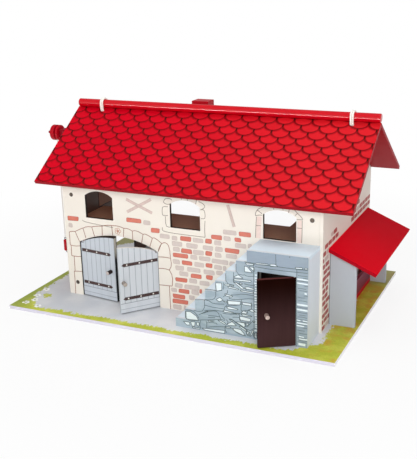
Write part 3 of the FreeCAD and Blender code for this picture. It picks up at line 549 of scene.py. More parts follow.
def tiled_red():
    """Roof print of round-ended tiles on the upper faces, paler and pinker towards the right as a painted
    reflection, and plain red elsewhere, darkened as painted shade.
    """
    paint = Paint("tiled_red", 0.42, 0.07)
    slope_run = (paint.y - RIDGE_Y).abs() / math.cos(ROOF_SLOPE)
    panel_run = (RIDGE_Y - ROOF_LOW.y) / math.cos(ROOF_SLOPE)
    row = (slope_run - panel_run + TILE_END_MARGIN) / TILE_ROW + TILE_ROWS
    column = (paint.x + TILE_SHIFT) / TILE_WIDTH
    level = row.floor()

    def ring(this_level):
        """Distance from a row's tile ends, 1 on the edge and more below it."""
        across = ((column + (this_level * 0.5).frac()).frac() - 0.5) * 2
        down = (row - this_level - 1 + TILE_SCALLOP) / TILE_SCALLOP
        return (across * across + down.most(0) * down.most(0)).sqrt(), across, down

    radius = TILE_WIDTH / 2
    ring_here, across, down = ring(level)
    ring_over, across_over = ring(level - 1)[:2]
    below = ring_here.rise(0.999, 1.001) * down.rise(-0.01, 0.01)
    wobble = (paint.noise(220.0) - 0.5) * 0.10
    edge_here = (ring_here - 1 + wobble) * radius
    edge_over = (ring_over - 1 + wobble) * radius
    seam = (across.abs() - 1) * radius
    seam_line = seam.line(TILE_SEAM) * down.rise(0.36, 0.2)
    side_here = (edge_here / (across * TILE_LEAN + 1)).line(TILE_LINE)
    side_over = (edge_over / (across_over * TILE_LEAN + 1)).line(TILE_LINE)
    lines = side_here.most(side_over).most(seam_line)
    shadow_here = edge_here.rise(5.0 * MM, 0.3 * MM) * below
    shadow_over = edge_over.rise(6.0 * MM, 0.3 * MM) * edge_over.rise(-0.1 * MM, 0.1 * MM)
    shadow = shadow_here.most(shadow_over * below.invert())
    tile_level = level + below
    tint = paint.chance(tile_level, (column + (tile_level * 0.5).frac()).floor()) * 0.10 + 0.95
    # Painted reflection: the tiles turn paler and pinker towards the right.
    painted_reflection_red = paint.mix(paint.x.rise(-150 * MM, 230 * MM), ink(206, 2, 30), ink(212, 27, 37))
    body = paint.mix(shadow, painted_reflection_red, ink(156, 6, 20))
    body = paint.shade(body, tint * mottle(paint, 0.08))
    body = paint.mix(lines * 0.88, body, ink(120, 7, 14))
    body = paint.mix(seam_line * 0.9, body, ink(56, 16, 12))
    top = paint.nz.rise(0.45, 0.55)
    pattern = top * (slope_run - panel_run).rise(-0.6 * MM, -0.9 * MM)
    # Underside and edges: plain red, darkened as painted shade.
    under = paint.shade(ink(159, 13, 28), mottle(paint, 0.08))
    colour = paint.mix(pattern, under, body)
    height = (lines.invert() * 0.8 + ring_here.least(1) * 0.2) * pattern
    rough = (paint.noise(70.0) - 0.5) * 0.15 + 0.42
    return paint.done(colour, rough, height, 0.35 * MM)


def wall_board(name, outside):
    """Board that is cream outside and on its outer edges, and brown inside and in its openings; the inside
    brown is darkened as painted shade, and the front behind the store is painted dark as shade.
    """
    paint = Paint(name, 0.5, 0.2)
    facing = paint.nx * outside.x + paint.ny * outside.y
    cream = paint.shade(ink(234, 227, 216), mottle(paint, 0.035, 60.0))
    fibre = paint.noise(500.0, 3.0, (1, 1, 0.35))
    # Inside faces: the bare board's brown, darkened as painted shade inside the barn.
    brown = paint.shade(ink(88, 61, 48), fibre * 0.35 + 0.82)
    dark = paint.shade(ink(40, 28, 23), fibre * 0.5 + 0.75)
    low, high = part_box(name.replace("_print", ""))
    axis = 0 if abs(outside.y) > 0.5 else 1
    middle = (low[axis] + high[axis]) / 2
    half = (high[axis] - low[axis]) / 2
    rim = ((paint.x, paint.y)[axis] - middle).abs().rise(half - 1 * MM, half - 0.5 * MM)
    sides = paint.mix(rim, dark, cream)
    # Painted shade: the front wall behind the store's doorway is dark.
    store = (paint.x - STORE_LOW.x).rise(0, 1 * MM) * (paint.z * -1 + STORE_LOW.z).rise(0, 1 * MM)
    face = paint.mix(store * abs(outside.y), cream, dark)
    colour = paint.mix(facing.faces(), paint.mix(facing.faces(-1), sides, brown), face)
    grain, cloud = fine_grain(paint)
    return paint.done(colour, cloud + 0.5, grain, FILM_RELIEF)


def raw_board(name, colour):
    """Unpainted fibreboard with short fibres and darker cut edges."""
    paint = Paint(name, 0.72, 0.25)
    fibre = paint.noise(420.0, 4.0, (0.35, 1, 1))
    speck = paint.noise(2200.0, 1.0)
    body = paint.shade(colour, fibre * 0.34 + speck * 0.16 + 0.74)
    edge = paint.nz.abs().rise(0.6, 0.4)
    body = paint.mix(edge, body, paint.shade(colour, fibre * 0.3 + 0.55))
    return paint.done(body, fibre * 0.2 + 0.6, speck, 0.08 * MM)


def planked(name, joint, rest_angle, toward, face_ink, edge_ink, high_edge_ink, top_ink):
    """Door print of upright planks over a low rail, on both faces of a leaf."""
    pivot = Vector(joints[joint]["pos_m"])
    along = Matrix.Rotation(math.radians(rest_angle), 3, "Z") @ (RIGHT * toward)
    paint = Paint(name, 0.5, 0.2)
    reach = (paint.x - pivot.x) * along.x + (paint.y - pivot.y) * along.y
    face = (paint.nx * along.y - paint.ny * along.x).abs().rise(0.5, 0.7)
    board = reach / PLANK
    seam = ((board - 0.45).frac() - 0.5) * PLANK
    tint = paint.chance((board - 0.95).floor(), (board * 0).floor()) * 0.07 + 0.96
    grain = paint.noise(260.0, 4.0, (1, 1, 0.06))
    body = paint.shade(face_ink, tint * (grain * 0.14 + 0.93))
    over_rail = paint.z.rise(RAIL_TOP - 0.5 * MM, RAIL_TOP)
    rail = (paint.z - RAIL_TOP).line(0.9 * MM).most((paint.z - RAIL_MIDDLE).line(0.8 * MM) * 0.8)
    lines = (seam.line(0.9 * MM) * over_rail * (paint.noise(90.0) * 0.7 + 0.45)).most(rail)
    body = paint.mix(lines * 0.85, body, ink(118, 128, 140))
    # Painted shadow: a thin dark line along the foot of the leaf.
    foot = (paint.z - LEAF_LOW.z).rise(1.1 * MM, 0.7 * MM)
    body = paint.mix(foot * 0.85, body, ink(84, 88, 94))
    # Painted light and shade: on the left leaf the edges are dark low down and pale higher up; the right
    # leaf's two edge inks are the same.
    edge = paint.mix(paint.z.rise(70 * MM, 86 * MM), edge_ink, high_edge_ink)
    top_edge = paint.mix(paint.nz.faces(), edge, top_ink)
    colour = paint.mix(face, top_edge, body)
    return paint.done(colour, grain * 0.2 + 0.42, lines.invert() * face, 0.15 * MM)


def dark_door(name):
    """Dark brown leaf with a faint upright grain and a painted sheen that lightens it towards its foot."""
    paint = Paint(name, 0.5, 0.0)
    grain = paint.noise(240.0, 4.0, (1, 1, 0.08))
    # Painted sheen: the leaf gets lighter towards its foot.
    body = paint.mix(paint.z.rise(100 * MM, 15 * MM), ink(26, 8, 5), ink(68, 46, 47))
    body = paint.mix(paint.nz.faces(), body, ink(92, 50, 48))
    body = paint.shade(body, grain * 0.4 + 0.8)
    return paint.done(body, grain * 0.2 + 0.28, grain, 0.04 * MM)


def lean_to_side():
    """Grey side board with a painted shadow line where it meets the gable."""
    paint = Paint("lean_to_grey", 0.45, 0.15)
    # Painted shadow: a dark line in the gap where the board meets the gable.
    joint = (paint.x - RIGHT_HIGH.x).line(1.8 * MM)
    body = paint.mix(joint * 0.8, paint.shade(ink(177, 184, 192), mottle(paint, 0.05)), ink(66, 66, 68))
    grain, cloud = fine_grain(paint)
    return paint.done(body, cloud + 0.45, grain, FILM_RELIEF)


def lean_to_top():
    """Lean-to roof: red, with painted light that brightens it towards the front and the gable, and painted
    shade on its duller front and back ends.
    """
    low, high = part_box("lean_to_roof")
    paint = Paint("lean_to_red", 0.5, 0.02)
    # Painted light: brighter towards the front and towards the gable.
    face = paint.mix(paint.y.rise(low.y, high.y), ink(232, 0, 28), ink(199, 2, 26))
    face = paint.shade(face, paint.x.rise(low.x, high.x) * -0.17 + 1.1)
    # Painted shade on the front and back ends.
    body = paint.mix(paint.ny.abs().faces(), face, ink(171, 4, 26))
    grain, cloud = fine_grain(paint)
    return paint.done(paint.shade(body, mottle(paint, 0.05)), cloud + 0.5, grain, FILM_RELIEF)


def manger_face():
    """Manger board: red, painted dull dark red with faint upright boards over its upper part as the
    lean-to roof's shadow, and full red at its lit foot.
    """
    paint = Paint("manger_red", 0.5, 0.1)
    board = ((paint.y / (7 * MM)).frac() - 0.5).abs().rise(0.42, 0.5)
    # Painted shadow of the lean-to roof over the upper part, with faint upright boards; the foot keeps the
    # board's red.
    face = paint.mix(board * 0.4, ink(128, 50, 72), ink(84, 36, 52))
    body = paint.mix(paint.z.rise(13 * MM, 11 * MM), face, ink(196, 4, 36))
    grain, cloud = fine_grain(paint)
    return paint.done(paint.shade(body, mottle(paint, 0.06)), cloud + 0.45, grain, FILM_RELIEF)


def hatch_board():
    """Loft hatch: dark brown outside, raw brown inside."""
    paint = Paint("hatch_brown", 0.5, 0.12)
    grain = paint.noise(300.0, 4.0, (1, 1, 0.1))
    colour = paint.mix(paint.nx.faces(), ink(60, 30, 28), ink(146, 102, 78))
    return paint.done(paint.shade(colour, grain * 0.4 + 0.8), grain * 0.2 + 0.4, grain, FILM_RELIEF)


def stone_face(name):
    """Blue-grey stone print with soft blotches, pale cut edges, painted shade over the strip at its right,
    and a dark reveal in the doorway painted as shade.
    """
    paint = Paint(name, 0.5, 0.2)
    blotch = paint.noise(70.0, 3.0, (0.5, 1, 1.6))
    streak = paint.noise(260.0, 3.0, (0.3, 1, 2.0))
    face = paint.mix(blotch.rise(0.35, 0.65), ink(148, 165, 177), ink(169, 185, 195))
    face = paint.mix(paint.z.rise(100 * MM, 118 * MM), face, ink(134, 149, 164))
    # Painted shade: the strip at the right is darkened.
    face = paint.mix(paint.x.rise(188 * MM, 191 * MM) * 0.6, face, ink(134, 149, 159))
    face = paint.shade(face, streak * 0.16 + 0.92)
    pale = paint.shade(ink(214, 221, 227), mottle(paint, 0.04))
    # Painted shade: the reveal of the store's doorway is dark.
    reveal = (paint.x - REVEAL_LEFT).rise(0, 1 * MM) * (paint.x - REVEAL_RIGHT).rise(1 * MM, 0)
    reveal = reveal * (paint.z - REVEAL_TOP).rise(1 * MM, 0)
    pale = paint.mix(reveal, pale, ink(44, 36, 36))
    colour = paint.mix(paint.ny.faces(-1), pale, face)
    grain, cloud = fine_grain(paint)
    return paint.done(colour, cloud + 0.5, grain, FILM_RELIEF)


def yard_print():
    """Base board: grey yard with grass at its rim; painted shade dulls the grass at the left and back,
    darkens the yard towards the left and dulls the floor under the roof; cut edges white where they face
    right and lilac grey elsewhere as painted shade.
    """
    paint = Paint("yard_print", 0.45, 0.4)
    blade = paint.noise(520.0, 2.0, (1, 0.25, 1)) - 0.5
    ragged = (paint.noise(34.0, 3.0) - 0.5) * (13 * MM) + (paint.noise(240.0, 3.0) - 0.5) * (16 * MM)
    ragged = ragged + blade * (16 * MM)
    front = paint.y * -1 + BASE_LOW.y + GRASS_FRONT
    left = paint.x * -1 + BASE_LOW.x + GRASS_LEFT
    back = paint.y - BASE_HIGH.y + GRASS_BACK
    right = paint.x - MANGER_LOW.x
    tuft_x = paint.x - TUFT.x
    tuft_y = paint.y - TUFT.y
    tuft = (tuft_x * tuft_x + tuft_y * tuft_y).sqrt() * -1 + TUFT_RADIUS
    left_corner = (paint.x * -1 + LEFT_CORNER.x) * 0.8 - (paint.y - LEFT_CORNER.y) * 0.6
    right_corner = (paint.x - paint.y) * SLANT - (RIGHT_CORNER.x - RIGHT_CORNER.y) * SLANT
    back_corner = (paint.y - paint.x) * SLANT - (BACK_CORNER.y - BACK_CORNER.x) * SLANT
    grass = front
    for rim in (left, back, right, left_corner, right_corner, back_corner, tuft):
        grass = grass.most(rim)
    lawn = (grass + ragged).rise(-0.6 * MM, 0.6 * MM)
    blades = paint.noise(600.0, 3.0, (1, 0.5, 1))
    patch = paint.noise(45.0, 3.0)
    green = paint.mix(patch.rise(0.35, 0.65), ink(182, 190, 44), ink(206, 210, 78))
    dry = paint.x.rise(190 * MM, 230 * MM) * paint.noise(60.0, 3.0).rise(0.4, 0.7)
    green = paint.mix(dry, green, ink(200, 164, 44))
    # Painted shade: the grass is duller near the left edge and at the back.
    shade = paint.x.rise(-205 * MM, -250 * MM) * 0.75
    green = paint.mix(shade, green, ink(128, 146, 48))
    green = paint.mix(paint.y.rise(95 * MM, 125 * MM) * 0.8, green, ink(140, 134, 88))
    green = paint.shade(green, blades * 0.6 + 0.7)
    grit = paint.noise(900.0, 2.0)
    cloud = paint.noise(24.0, 3.0)
    grey = paint.mix(cloud.rise(0.3, 0.7), ink(206, 210, 216), ink(222, 224, 227))
    # Painted shade: the grey is darker towards the left.
    grey = paint.shade(grey, grit * 0.12 + paint.x.rise(-230 * MM, -60 * MM) * 0.14 + 0.85)
    top = paint.mix(lawn, grey, green)
    # Painted shade on the floor inside the barn.
    indoor_shade = (paint.y - WALL_LOW.y).rise(4 * MM, 6 * MM) * (paint.x - LEFT_LOW.x).rise(4 * MM, 6 * MM)
    indoor_shade = indoor_shade * (paint.x * -1 + RIGHT_HIGH.x).rise(4 * MM, 6 * MM)
    indoor_shade = indoor_shade * (paint.y - BARN_BACK_Y).rise(0, -2 * MM)
    top = paint.mix(indoor_shade * 0.4, top, ink(104, 92, 80))
    # Cut edges: white where they face right, lilac grey elsewhere as painted shade.
    cut_edge = paint.mix(paint.nx.faces(), ink(210, 206, 219), ink(250, 250, 250))
    colour = paint.mix(paint.nz.faces(), paint.shade(cut_edge, mottle(paint, 0.04)), top)
    return paint.done(colour, grit * 0.2 + 0.38, blades * lawn, 0.1 * MM)


def turned_wood(name, turn, head, side):
    """Turned knob wood with fine rings, its end paler than its side as painted light and shade; turn is
    the way it faces.
    """
    outward = Matrix.Rotation(math.radians(turn), 3, "Z") @ FRONT
    paint = Paint(name, 0.5, 0.15)
    rings = paint.noise(900.0, 3.0, (1, 1, 0.2))
    facing = paint.nx * outward.x + paint.ny * outward.y
    # Painted light and shade: the end is pale, the side darker.
    body = paint.shade(paint.mix(facing.rise(0.5, 0.8), side, head), rings * 0.4 + 0.78)
    return paint.done(body, rings * 0.2 + 0.4, rings, 0.08 * MM)


def twisted_cord(name, colour):
    """Cotton cord: slanting strands with painted shade in the grooves between them, and a soft sheen."""
    paint = Paint(name, 0.8, 0.2)
    strands = ((paint.x + paint.y + paint.z * 1.2) / (1.1 * MM)).frac()
    groove = (strands - 0.5).abs()
    fuzz = paint.noise(2600.0, 2.0)
    # Painted shade in the grooves between strands.
    body = paint.shade(colour, groove * -0.35 + fuzz * 0.14 + 1.0)
    paint.shader.inputs["Sheen Weight"].default_value = 0.3
    return paint.done(body, fuzz * 0.2 + 0.7, groove.invert(), 0.15 * MM)


def metal(name, colour, roughness):
    """Plain wire or screw metal with fine scratches."""
    paint = Paint(name, roughness, 0.5)
    paint.shader.inputs["Metallic"].default_value = 0.9
    scratch = paint.noise(1500.0, 3.0, (1, 1, 0.15))
    body = paint.shade(colour, scratch * 0.4 + 0.8)
    return paint.done(body, scratch * 0.25 + roughness, scratch, 0.02 * MM)


def printed(name, colour, wander=0.12):
    """Flat ink with a little unevenness."""
    paint = Paint(name, 0.5, 0.2)
    cloud = paint.noise(240.0, 3.0)
    body = paint.shade(colour, (cloud - 0.5) * wander * 2 + mottle(paint, 0.04))
    return paint.done(body, cloud * 0.15 + 0.42)


class Print:
    """Flat ink shapes in millimetres on one face of a board, each a thin closed plate."""

    def __init__(self, origin, along, outward, upward=UP):
        self.origin = origin
        self.along = along
        self.outward = outward
        self.upward = upward
        self.mesh = bmesh.new()

    def at(self, point, lift):
        across, height = point
        flat = self.origin + self.along * (across * MM) + self.upward * (height * MM)
        return flat + self.outward * lift

    def loop(self, points, lift):
        return [self.mesh.verts.new(self.at(p, lift)) for p in points]

    def plate(self, outline, lift=INK):
        """Filled outline."""
        top = self.loop(outline, lift)
        root = self.loop(outline, -INK_ROOT)
        self.mesh.faces.new(top)
        self.mesh.faces.new(root[::-1])
        self.wall(top, root)

    def wall(self, top, root):
        for i in range(len(top)):
            self.mesh.faces.new((top[i - 1], root[i - 1], root[i], top[i]))

    def ribbon(self, points, width, closed=False, lift=INK_OVER):
        """Line of a width along points, mitred at its corners."""
        count = len(points)
        left, right = [], []
        for i, point in enumerate(points):
            here = Vector(point)
            before = Vector(points[i - 1]) if i or closed else here
            after = Vector(points[(i + 1) % count]) if i < count - 1 or closed else here
            way_in = (here - before).normalized() if here != before else (after - here).normalized()
            way_out = (after - here).normalized() if after != here else way_in
            middle = (way_in + way_out).normalized()
            side = Vector((-middle.y, middle.x))
            stretch = width / 2 / max(0.5, side.dot(Vector((-way_in.y, way_in.x))))
            left.append(here + side * stretch)
            right.append(here - side * stretch)
        rails = [self.loop(rail, height) for height in (lift, -INK_ROOT) for rail in (left, right)]
        top_left, top_right, root_left, root_right = rails
        for i in range(0 if closed else 1, count):
            self.mesh.faces.new((top_left[i - 1], top_left[i], top_right[i], top_right[i - 1]))
            self.mesh.faces.new((root_left[i], root_left[i - 1], root_right[i - 1], root_right[i]))
            self.mesh.faces.new((top_left[i], top_left[i - 1], root_left[i - 1], root_left[i]))
            self.mesh.faces.new((top_right[i - 1], top_right[i], root_right[i], root_right[i - 1]))
        if not closed:
            self.mesh.faces.new((top_left[0], top_right[0], root_right[0], root_left[0]))
            self.mesh.faces.new((top_right[-1], top_left[-1], root_left[-1], root_right[-1]))

    def build(self, name, body, material, slot):
        """Ends the print as one piece on a body."""
        bmesh.ops.recalc_face_normals(self.mesh, faces=self.mesh.faces[:])
        return piece(name, self.mesh, body, material)


def piece(name, mesh, body, material):
    """New object from a bmesh, riding on a body."""
    data = bpy.data.meshes.new(name)
    mesh.to_mesh(data)
    mesh.free()
    obj = bpy.data.objects.new(name, data)
    bpy.context.scene.collection.objects.link(obj)
    data.materials.append(material)
    if body:
        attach(obj, body)
    return obj


def rounded(corners, radius):
    """Outline with its corners eased."""
    points = []
    count = len(corners)
    for i in range(count):
        here = Vector(corners[i])
        before = Vector(corners[i - 1])
        after = Vector(corners[(i + 1) % count])
        cut_in = min(radius, (before - here).length * 0.45)
        cut_out = min(radius, (after - here).length * 0.45)
        start = here + (before - here).normalized() * cut_in
        end = here + (after - here).normalized() * cut_out
        for share in (0.0, 0.33, 0.67, 1.0):
            points.append(start.lerp(here, share).lerp(here.lerp(end, share), share))
    return [(p.x, p.y) for p in points]


def brick(rng, left, right, low, high):
    """Outline of one hand-drawn brick."""
    def off(size):
        return rng.uniform(-size, size)

    corners = [(left + off(0.6), low + off(0.4)), (right + off(0.6), low + off(0.4)),
               (right + off(0.6), high + off(0.4)), (left + off(0.6), high + off(0.4))]
    return rounded(corners, 1.6)


def assign(material, *names):
    """Puts one material on CAD nodes."""
    for name in names:
        data = nodes[name].data
        data.materials.clear()
        data.materials.append(material)


def assign_boards():
    """Finishes of the CAD pieces."""
    assign(tiled_red(), "front_roof_panel", "back_roof_panel")
    assign(painted("pole_red", ink(204, 6, 26), 0.14, 0.05, 0.5), "ridge_pole")
    assign(painted("chimney_red", ink(178, 14, 30), 0.42, 0.06, 0.1), "chimney")
    assign(painted("wheel_red", ink(182, 8, 29), 0.35, 0.06, 0.12), "hoist_wheel", "hook_weight")
    assign(painted("beam_red", ink(140, 8, 26), 0.42, 0.06, 0.1), "hoist_beam", "hoist_axle")
    assign(lean_to_top(), "lean_to_roof")
    assign(manger_face(), "manger_board")
    assign(wall_board("front_wall_print", FRONT), "front_wall")
    assign(wall_board("left_gable_print", -RIGHT), "left_gable")
    assign(wall_board("right_gable_print", RIGHT), "right_gable")
    assign(raw_board("brown_board", ink(206, 156, 126)), "corner_post_left", "corner_post_right",
           "loft_floor", "loft_rail_front", "loft_rail_left", "loft_rail_right", "lean_to_cleat")
    assign(stone_face("stone_print"), "stair_front")
    assign(painted("step_grey", ink(220, 227, 235), 0.5, 0.05, 0.1), "annex_side", "stair_risers")
    assign(painted("tread_grey", ink(221, 236, 246), 0.5, 0.05, 0.1), "stair_treads", "landing_board")
    assign(lean_to_side(), "lean_to_near_side", "lean_to_far_side")
    assign(yard_print(), "base_board")
    assign(planked("left_planks", "left_door_swing", LEFT_DOOR_TURN, 1, ink(196, 202, 210),
                   ink(30, 33, 36), ink(196, 192, 180), ink(30, 26, 24)), "left_barn_door")
    assign(planked("right_planks", "right_door_swing", RIGHT_DOOR_TURN, -1, ink(206, 211, 217),
                   ink(188, 194, 200), ink(188, 194, 200), ink(226, 224, 218)), "right_barn_door")
    assign(dark_door("small_door_brown"), "small_door")
    assign(hatch_board(), "loft_hatch")
    # Knob inks: a pale end and a darker side, painted light and shade.
    for leaf, turn, head, side in (("left", LEFT_DOOR_TURN, ink(196, 184, 180), ink(48, 34, 31)),
                                   ("right", RIGHT_DOOR_TURN, ink(176, 164, 154), ink(142, 134, 127))):
        assign(turned_wood(f"{leaf}_knob_wood", turn, head, side), f"{leaf}_door_knob")
    for leaf, turn, knob in (("small", SMALL_DOOR_TURN, "small_door_knob"),
                             ("hatch", HATCH_TURN, "loft_hatch_knob")):
        assign(turned_wood(f"{leaf}_knob_wood", turn, ink(192, 172, 163), ink(160, 138, 130)), knob)
    assign(metal("pin_steel", ink(150, 150, 154), 0.35), "left_door_pins", "right_door_pins",
           "small_door_pins", "loft_hatch_pins")
    assign(metal("screw_dark", ink(70, 62, 56), 0.45), "wall_screws")
    assign(metal("hook_black", ink(34, 32, 32), 0.4), "hook_eye", "hook_tip")


def ease_edges(*names):
    """Slightly rounded edges on CAD boards, so their joints and rims catch the light."""
    for name in names:
        weld = nodes[name].modifiers.new("weld", "WELD")
        weld.merge_threshold = WELD_REACH
        bevel = nodes[name].modifiers.new("ease", "BEVEL")
        bevel.width = EDGE_EASE
        bevel.segments = 2
        bevel.limit_method = "ANGLE"
        bevel.angle_limit = EASE_ANGLE


def front_wall_prints():
    """Bricks, arch stones, window stones and timbers on the front wall."""
    rng = random.Random(11)
    face = (Vector((0, WALL_LOW.y, 0)), RIGHT, FRONT)
    for name, rows, colour, rim in (
            ("wall_bricks_red", RED_BRICKS, ink(207, 112, 92), ink(178, 96, 82)),
            ("wall_bricks_grey", GREY_BRICKS, ink(205, 191, 184), ink(196, 180, 172))):
        sheet = Print(*face)
        rims = Print(*face)
        for left, right, height in rows:
            low, high = height - BRICK_HEIGHT / 2, height + BRICK_HEIGHT / 2
            shape = brick(rng, left + BRICK_INSET, right - BRICK_INSET, low, high)
            sheet.plate(shape)
            rims.ribbon(shape, BRICK_RIM, True)
        sheet.build(name, "barn", printed(name, colour), "wall_print")
        rims.build(name + "_rims", "barn", printed(name + "_rim", rim), "wall_print")

    stone_lines(face, ARCH_LINES, 1.0, "arch_stone_lines", printed("stone_line", ink(158, 112, 94)))
    rosette = Print(*face)
    middle, height = ROSETTE_MIDDLE
    for i in range(ROSETTE_PETALS):
        turn = 2 * math.pi * i / ROSETTE_PETALS
        across = middle + ROSETTE_REACH * math.cos(turn)
        rosette.ribbon(ring_points(across, height + ROSETTE_REACH * math.sin(turn), 1.9, 10), 0.6, True)
    rosette.plate(ring_points(middle, height, 1.1, 8))
    rosette.build("keystone_rosette", "barn", printed("rosette_line", ink(196, 138, 112)), "wall_print")

    stone_lines(face, WINDOW_LINES, 0.9, "window_stone_lines", printed("window_line", ink(148, 134, 122)))
    jambs = Print(*face)
    for outline in WINDOW_JAMBS:
        jambs.plate(rounded(outline, 1.0))
    jambs.build("window_jamb_stones", "barn", printed("jamb_pink", ink(230, 208, 198)), "wall_print")
    timbers = Print(*face)
    for i, (start, end) in enumerate(TIMBERS):
        timbers.ribbon((start, end), TIMBER_WIDTH, lift=INK * (1 + 0.4 * i))
    timbers.build("wall_timbers", "barn", printed("timber_pink", ink(210, 188, 180), 0.2), "wall_print")
    rims = Print(*face)
    for start, end in TIMBERS:
        way = (Vector(end) - Vector(start)).normalized()
        aside = Vector((-way.y, way.x)) * (TIMBER_WIDTH / 2)
        for side in (-1, 1):
            rims.ribbon((Vector(start) + aside * side, Vector(end) + aside * side), 0.5)
    rims.build("wall_timber_rims", "barn", printed("timber_rim", ink(188, 164, 156)), "wall_print")


def stone_lines(face, runs, width, name, material):
    """Drawn lines between stones on a wall, as one piece."""
    lines = Print(*face)
    for run in runs:
        lines.ribbon(smooth(run), width)
    lines.build(name, "barn", material, "wall_print")


def smooth(points):
    """Points with their inner corners eased once."""
    if len(points) < 3:
        return points
    eased = [points[0]]
    for before, here, after in zip(points, points[1:], points[2:]):
        eased.append((here[0] * 0.7 + before[0] * 0.3, here[1] * 0.7 + before[1] * 0.3))
        eased.append((here[0] * 0.7 + after[0] * 0.3, here[1] * 0.7 + after[1] * 0.3))
    return eased + [points[-1]]


def ring_points(across, height, radius, count):
    """Points round a small circle on a print."""
    turns = [2 * math.pi * i / count for i in range(count)]
    return [(across + radius * math.cos(a), height + radius * math.sin(a)) for a in turns]


def stair_prints():
    """Step blocks, pale stones and joint lines on the stair's front board."""
    rng = random.Random(5)
    face = (Vector((0, STAIR_LOW.y, 0)), RIGHT, FRONT)
    pale = Print(*face)
    lines = Print(*face)
    for outline in PALE_STONES:
        shape = rounded(outline, 0.8)
        pale.plate(shape)
        lines.ribbon(shape, 0.9, True)
    for low, high, left, right in STACKED_STONES:
        corners = [(left, low + rng.uniform(0, 0.4)), (right, low)]
        corners += [(right, high - rng.uniform(0, 0.4)), (left, high)]
        pale.plate(rounded(corners, 0.5))
    pale.plate([(189.9, 8), (190.7, 8), (190.7, 101), (189.9, 101)])
    for i in range(THIN_STONES):
        low = 10.5 + THIN_STONE_PITCH * i + rng.uniform(-0.5, 0.5)
        left = 132.2 + rng.uniform(-0.6, 1.6)
        pale.plate(rounded([(left, low), (136.2, low), (136.2, low + 1.9), (left, low + 1.6)], 0.5))
    for run in STAIR_LINES + STONE_JOINTS:
        lines.ribbon(smooth(run), 0.8)
    for height, left, right in STRIP_LINES:
        bend = ((left + right) / 2, height + rng.uniform(-0.6, 0.6))
        lines.ribbon([(left, height), bend, (right, height)], 0.6)
    pale.build("stair_pale_stones", "barn", printed("stone_pale", ink(224, 234, 237)), "stone_print")
    lines.build("stair_stone_lines", "barn", printed("stone_grey_line", ink(84, 100, 104)), "stone_print")


def gable_prints():
    """Brick patches on the end walls, and stones round the left doorway."""
    rng = random.Random(23)
    right_face = (Vector((RIGHT_HIGH.x, 0, 0)), Vector((0, 1, 0)), RIGHT)
    left_face = (Vector((LEFT_LOW.x, 0, 0)), Vector((0, -1, 0)), -RIGHT)
    right_sheets = (Print(*right_face), Print(*right_face))
    left_sheets = (Print(*left_face), Print(*left_face))
    fill_courses(rng, right_gable_patch, (-94, 149), 16, right_sheets, 0.9, 1.9)
    fill_courses(rng, left_gable_patch, (-149, 94), 15, left_sheets, 0.4, 2.6)
    for sheet, name, material in (
            (right_sheets[0], "right_gable_bricks_red", printed("gable_brick", ink(168, 84, 78))),
            (right_sheets[1], "right_gable_bricks_grey", printed("gable_brick_grey", ink(205, 184, 176))),
            (left_sheets[0], "left_gable_bricks_red", printed("left_gable_brick", ink(212, 112, 96))),
            (left_sheets[1], "left_gable_bricks_grey", printed("left_gable_grey", ink(205, 190, 182)))):
        sheet.build(name, "barn", material, "wall_print")
    lines = Print(*left_face)
    arch_stones(lines)
    material = printed("left_stone_line", ink(186, 142, 122))
    lines.build("left_arch_stone_lines", "barn", material, "wall_print")


def fill_courses(rng, patch, reach, count, sheets, red_share, gap):
    """Courses of bricks where a patch says so."""
    for course in range(count):
        low = COURSE_FOOT + BRICK_PITCH * course
        left = reach[0] - (course % 2) * COURSE_SHIFT - rng.uniform(0, 2)
        while left < reach[1] - 5:
            right = min(left + rng.choice(BRICK_LENGTHS), reach[1])
            start = max(left, reach[0])
            middle = ((start + right) / 2, low + BRICK_HEIGHT / 2)
            sheet = sheets[0 if rng.random() < red_share else 1]
            shape = brick(rng, start, right, low, low + BRICK_HEIGHT)
            if right - start > 3 and patch(*middle):
                sheet.plate(shape)
            left = right + gap


def right_gable_patch(across, height):
    """Where the right gable has bricks: a front column, and two runs over the lean-to roof."""
    if across < -30:
        return height < 122 + (across + 96) * 0.32 and (across < -64 or height > 121)
    return across > 42 and 121 < height < 145 - abs(across - 60) * 0.09


def left_gable_patch(across, height):
    """Where the left gable has bricks: ragged patches beside the doorway and at the low corners."""
    if -124 < across < -18:
        return 112 < height < 136 + 14 * math.sin(across * 0.09) and not -56 < across < 16
    return height < 74 + 30 * math.sin(across * 0.05) + 12 * math.sin(across * 0.37)


def arch_stones(sheet):
    """Outlined stones round the left gable's doorway, laid on its arch."""
    middle, half, spring, apex = -70.5, 32.5, 78.0, 87.0
    rise = apex - spring
    radius = (half * half + rise * rise) / (2 * rise)
    centre = apex - radius
    sweep = math.asin(half / radius)
    angles = [sweep * (2 * i / ARCH_STONES - 1) for i in range(ARCH_STONES + 1)]
    outer = []
    for angle in angles:
        far = radius + ARCH_STONE_LENGTH
        point = (middle + far * math.sin(angle), centre + far * math.cos(angle))
        sheet.ribbon([(middle + radius * math.sin(angle), centre + radius * math.cos(angle)), point], 0.9)
        outer.append(point)
    for start, end in zip(outer, outer[1:]):
        peak = ((start[0] + end[0]) / 2, (start[1] + end[1]) / 2 + 1.4)
        sheet.ribbon(smooth([start, peak, end]), 0.9)
    for side in (-1, 1):
        edge = middle + side * half
        for low, high, wide in ((5.2, 26, 14), (26, 46, 17), (46, 62, 13), (62, spring, 16)):
            far = edge + side * wide
            sheet.ribbon([(edge, high), (far, high), (far, low)], 0.9)


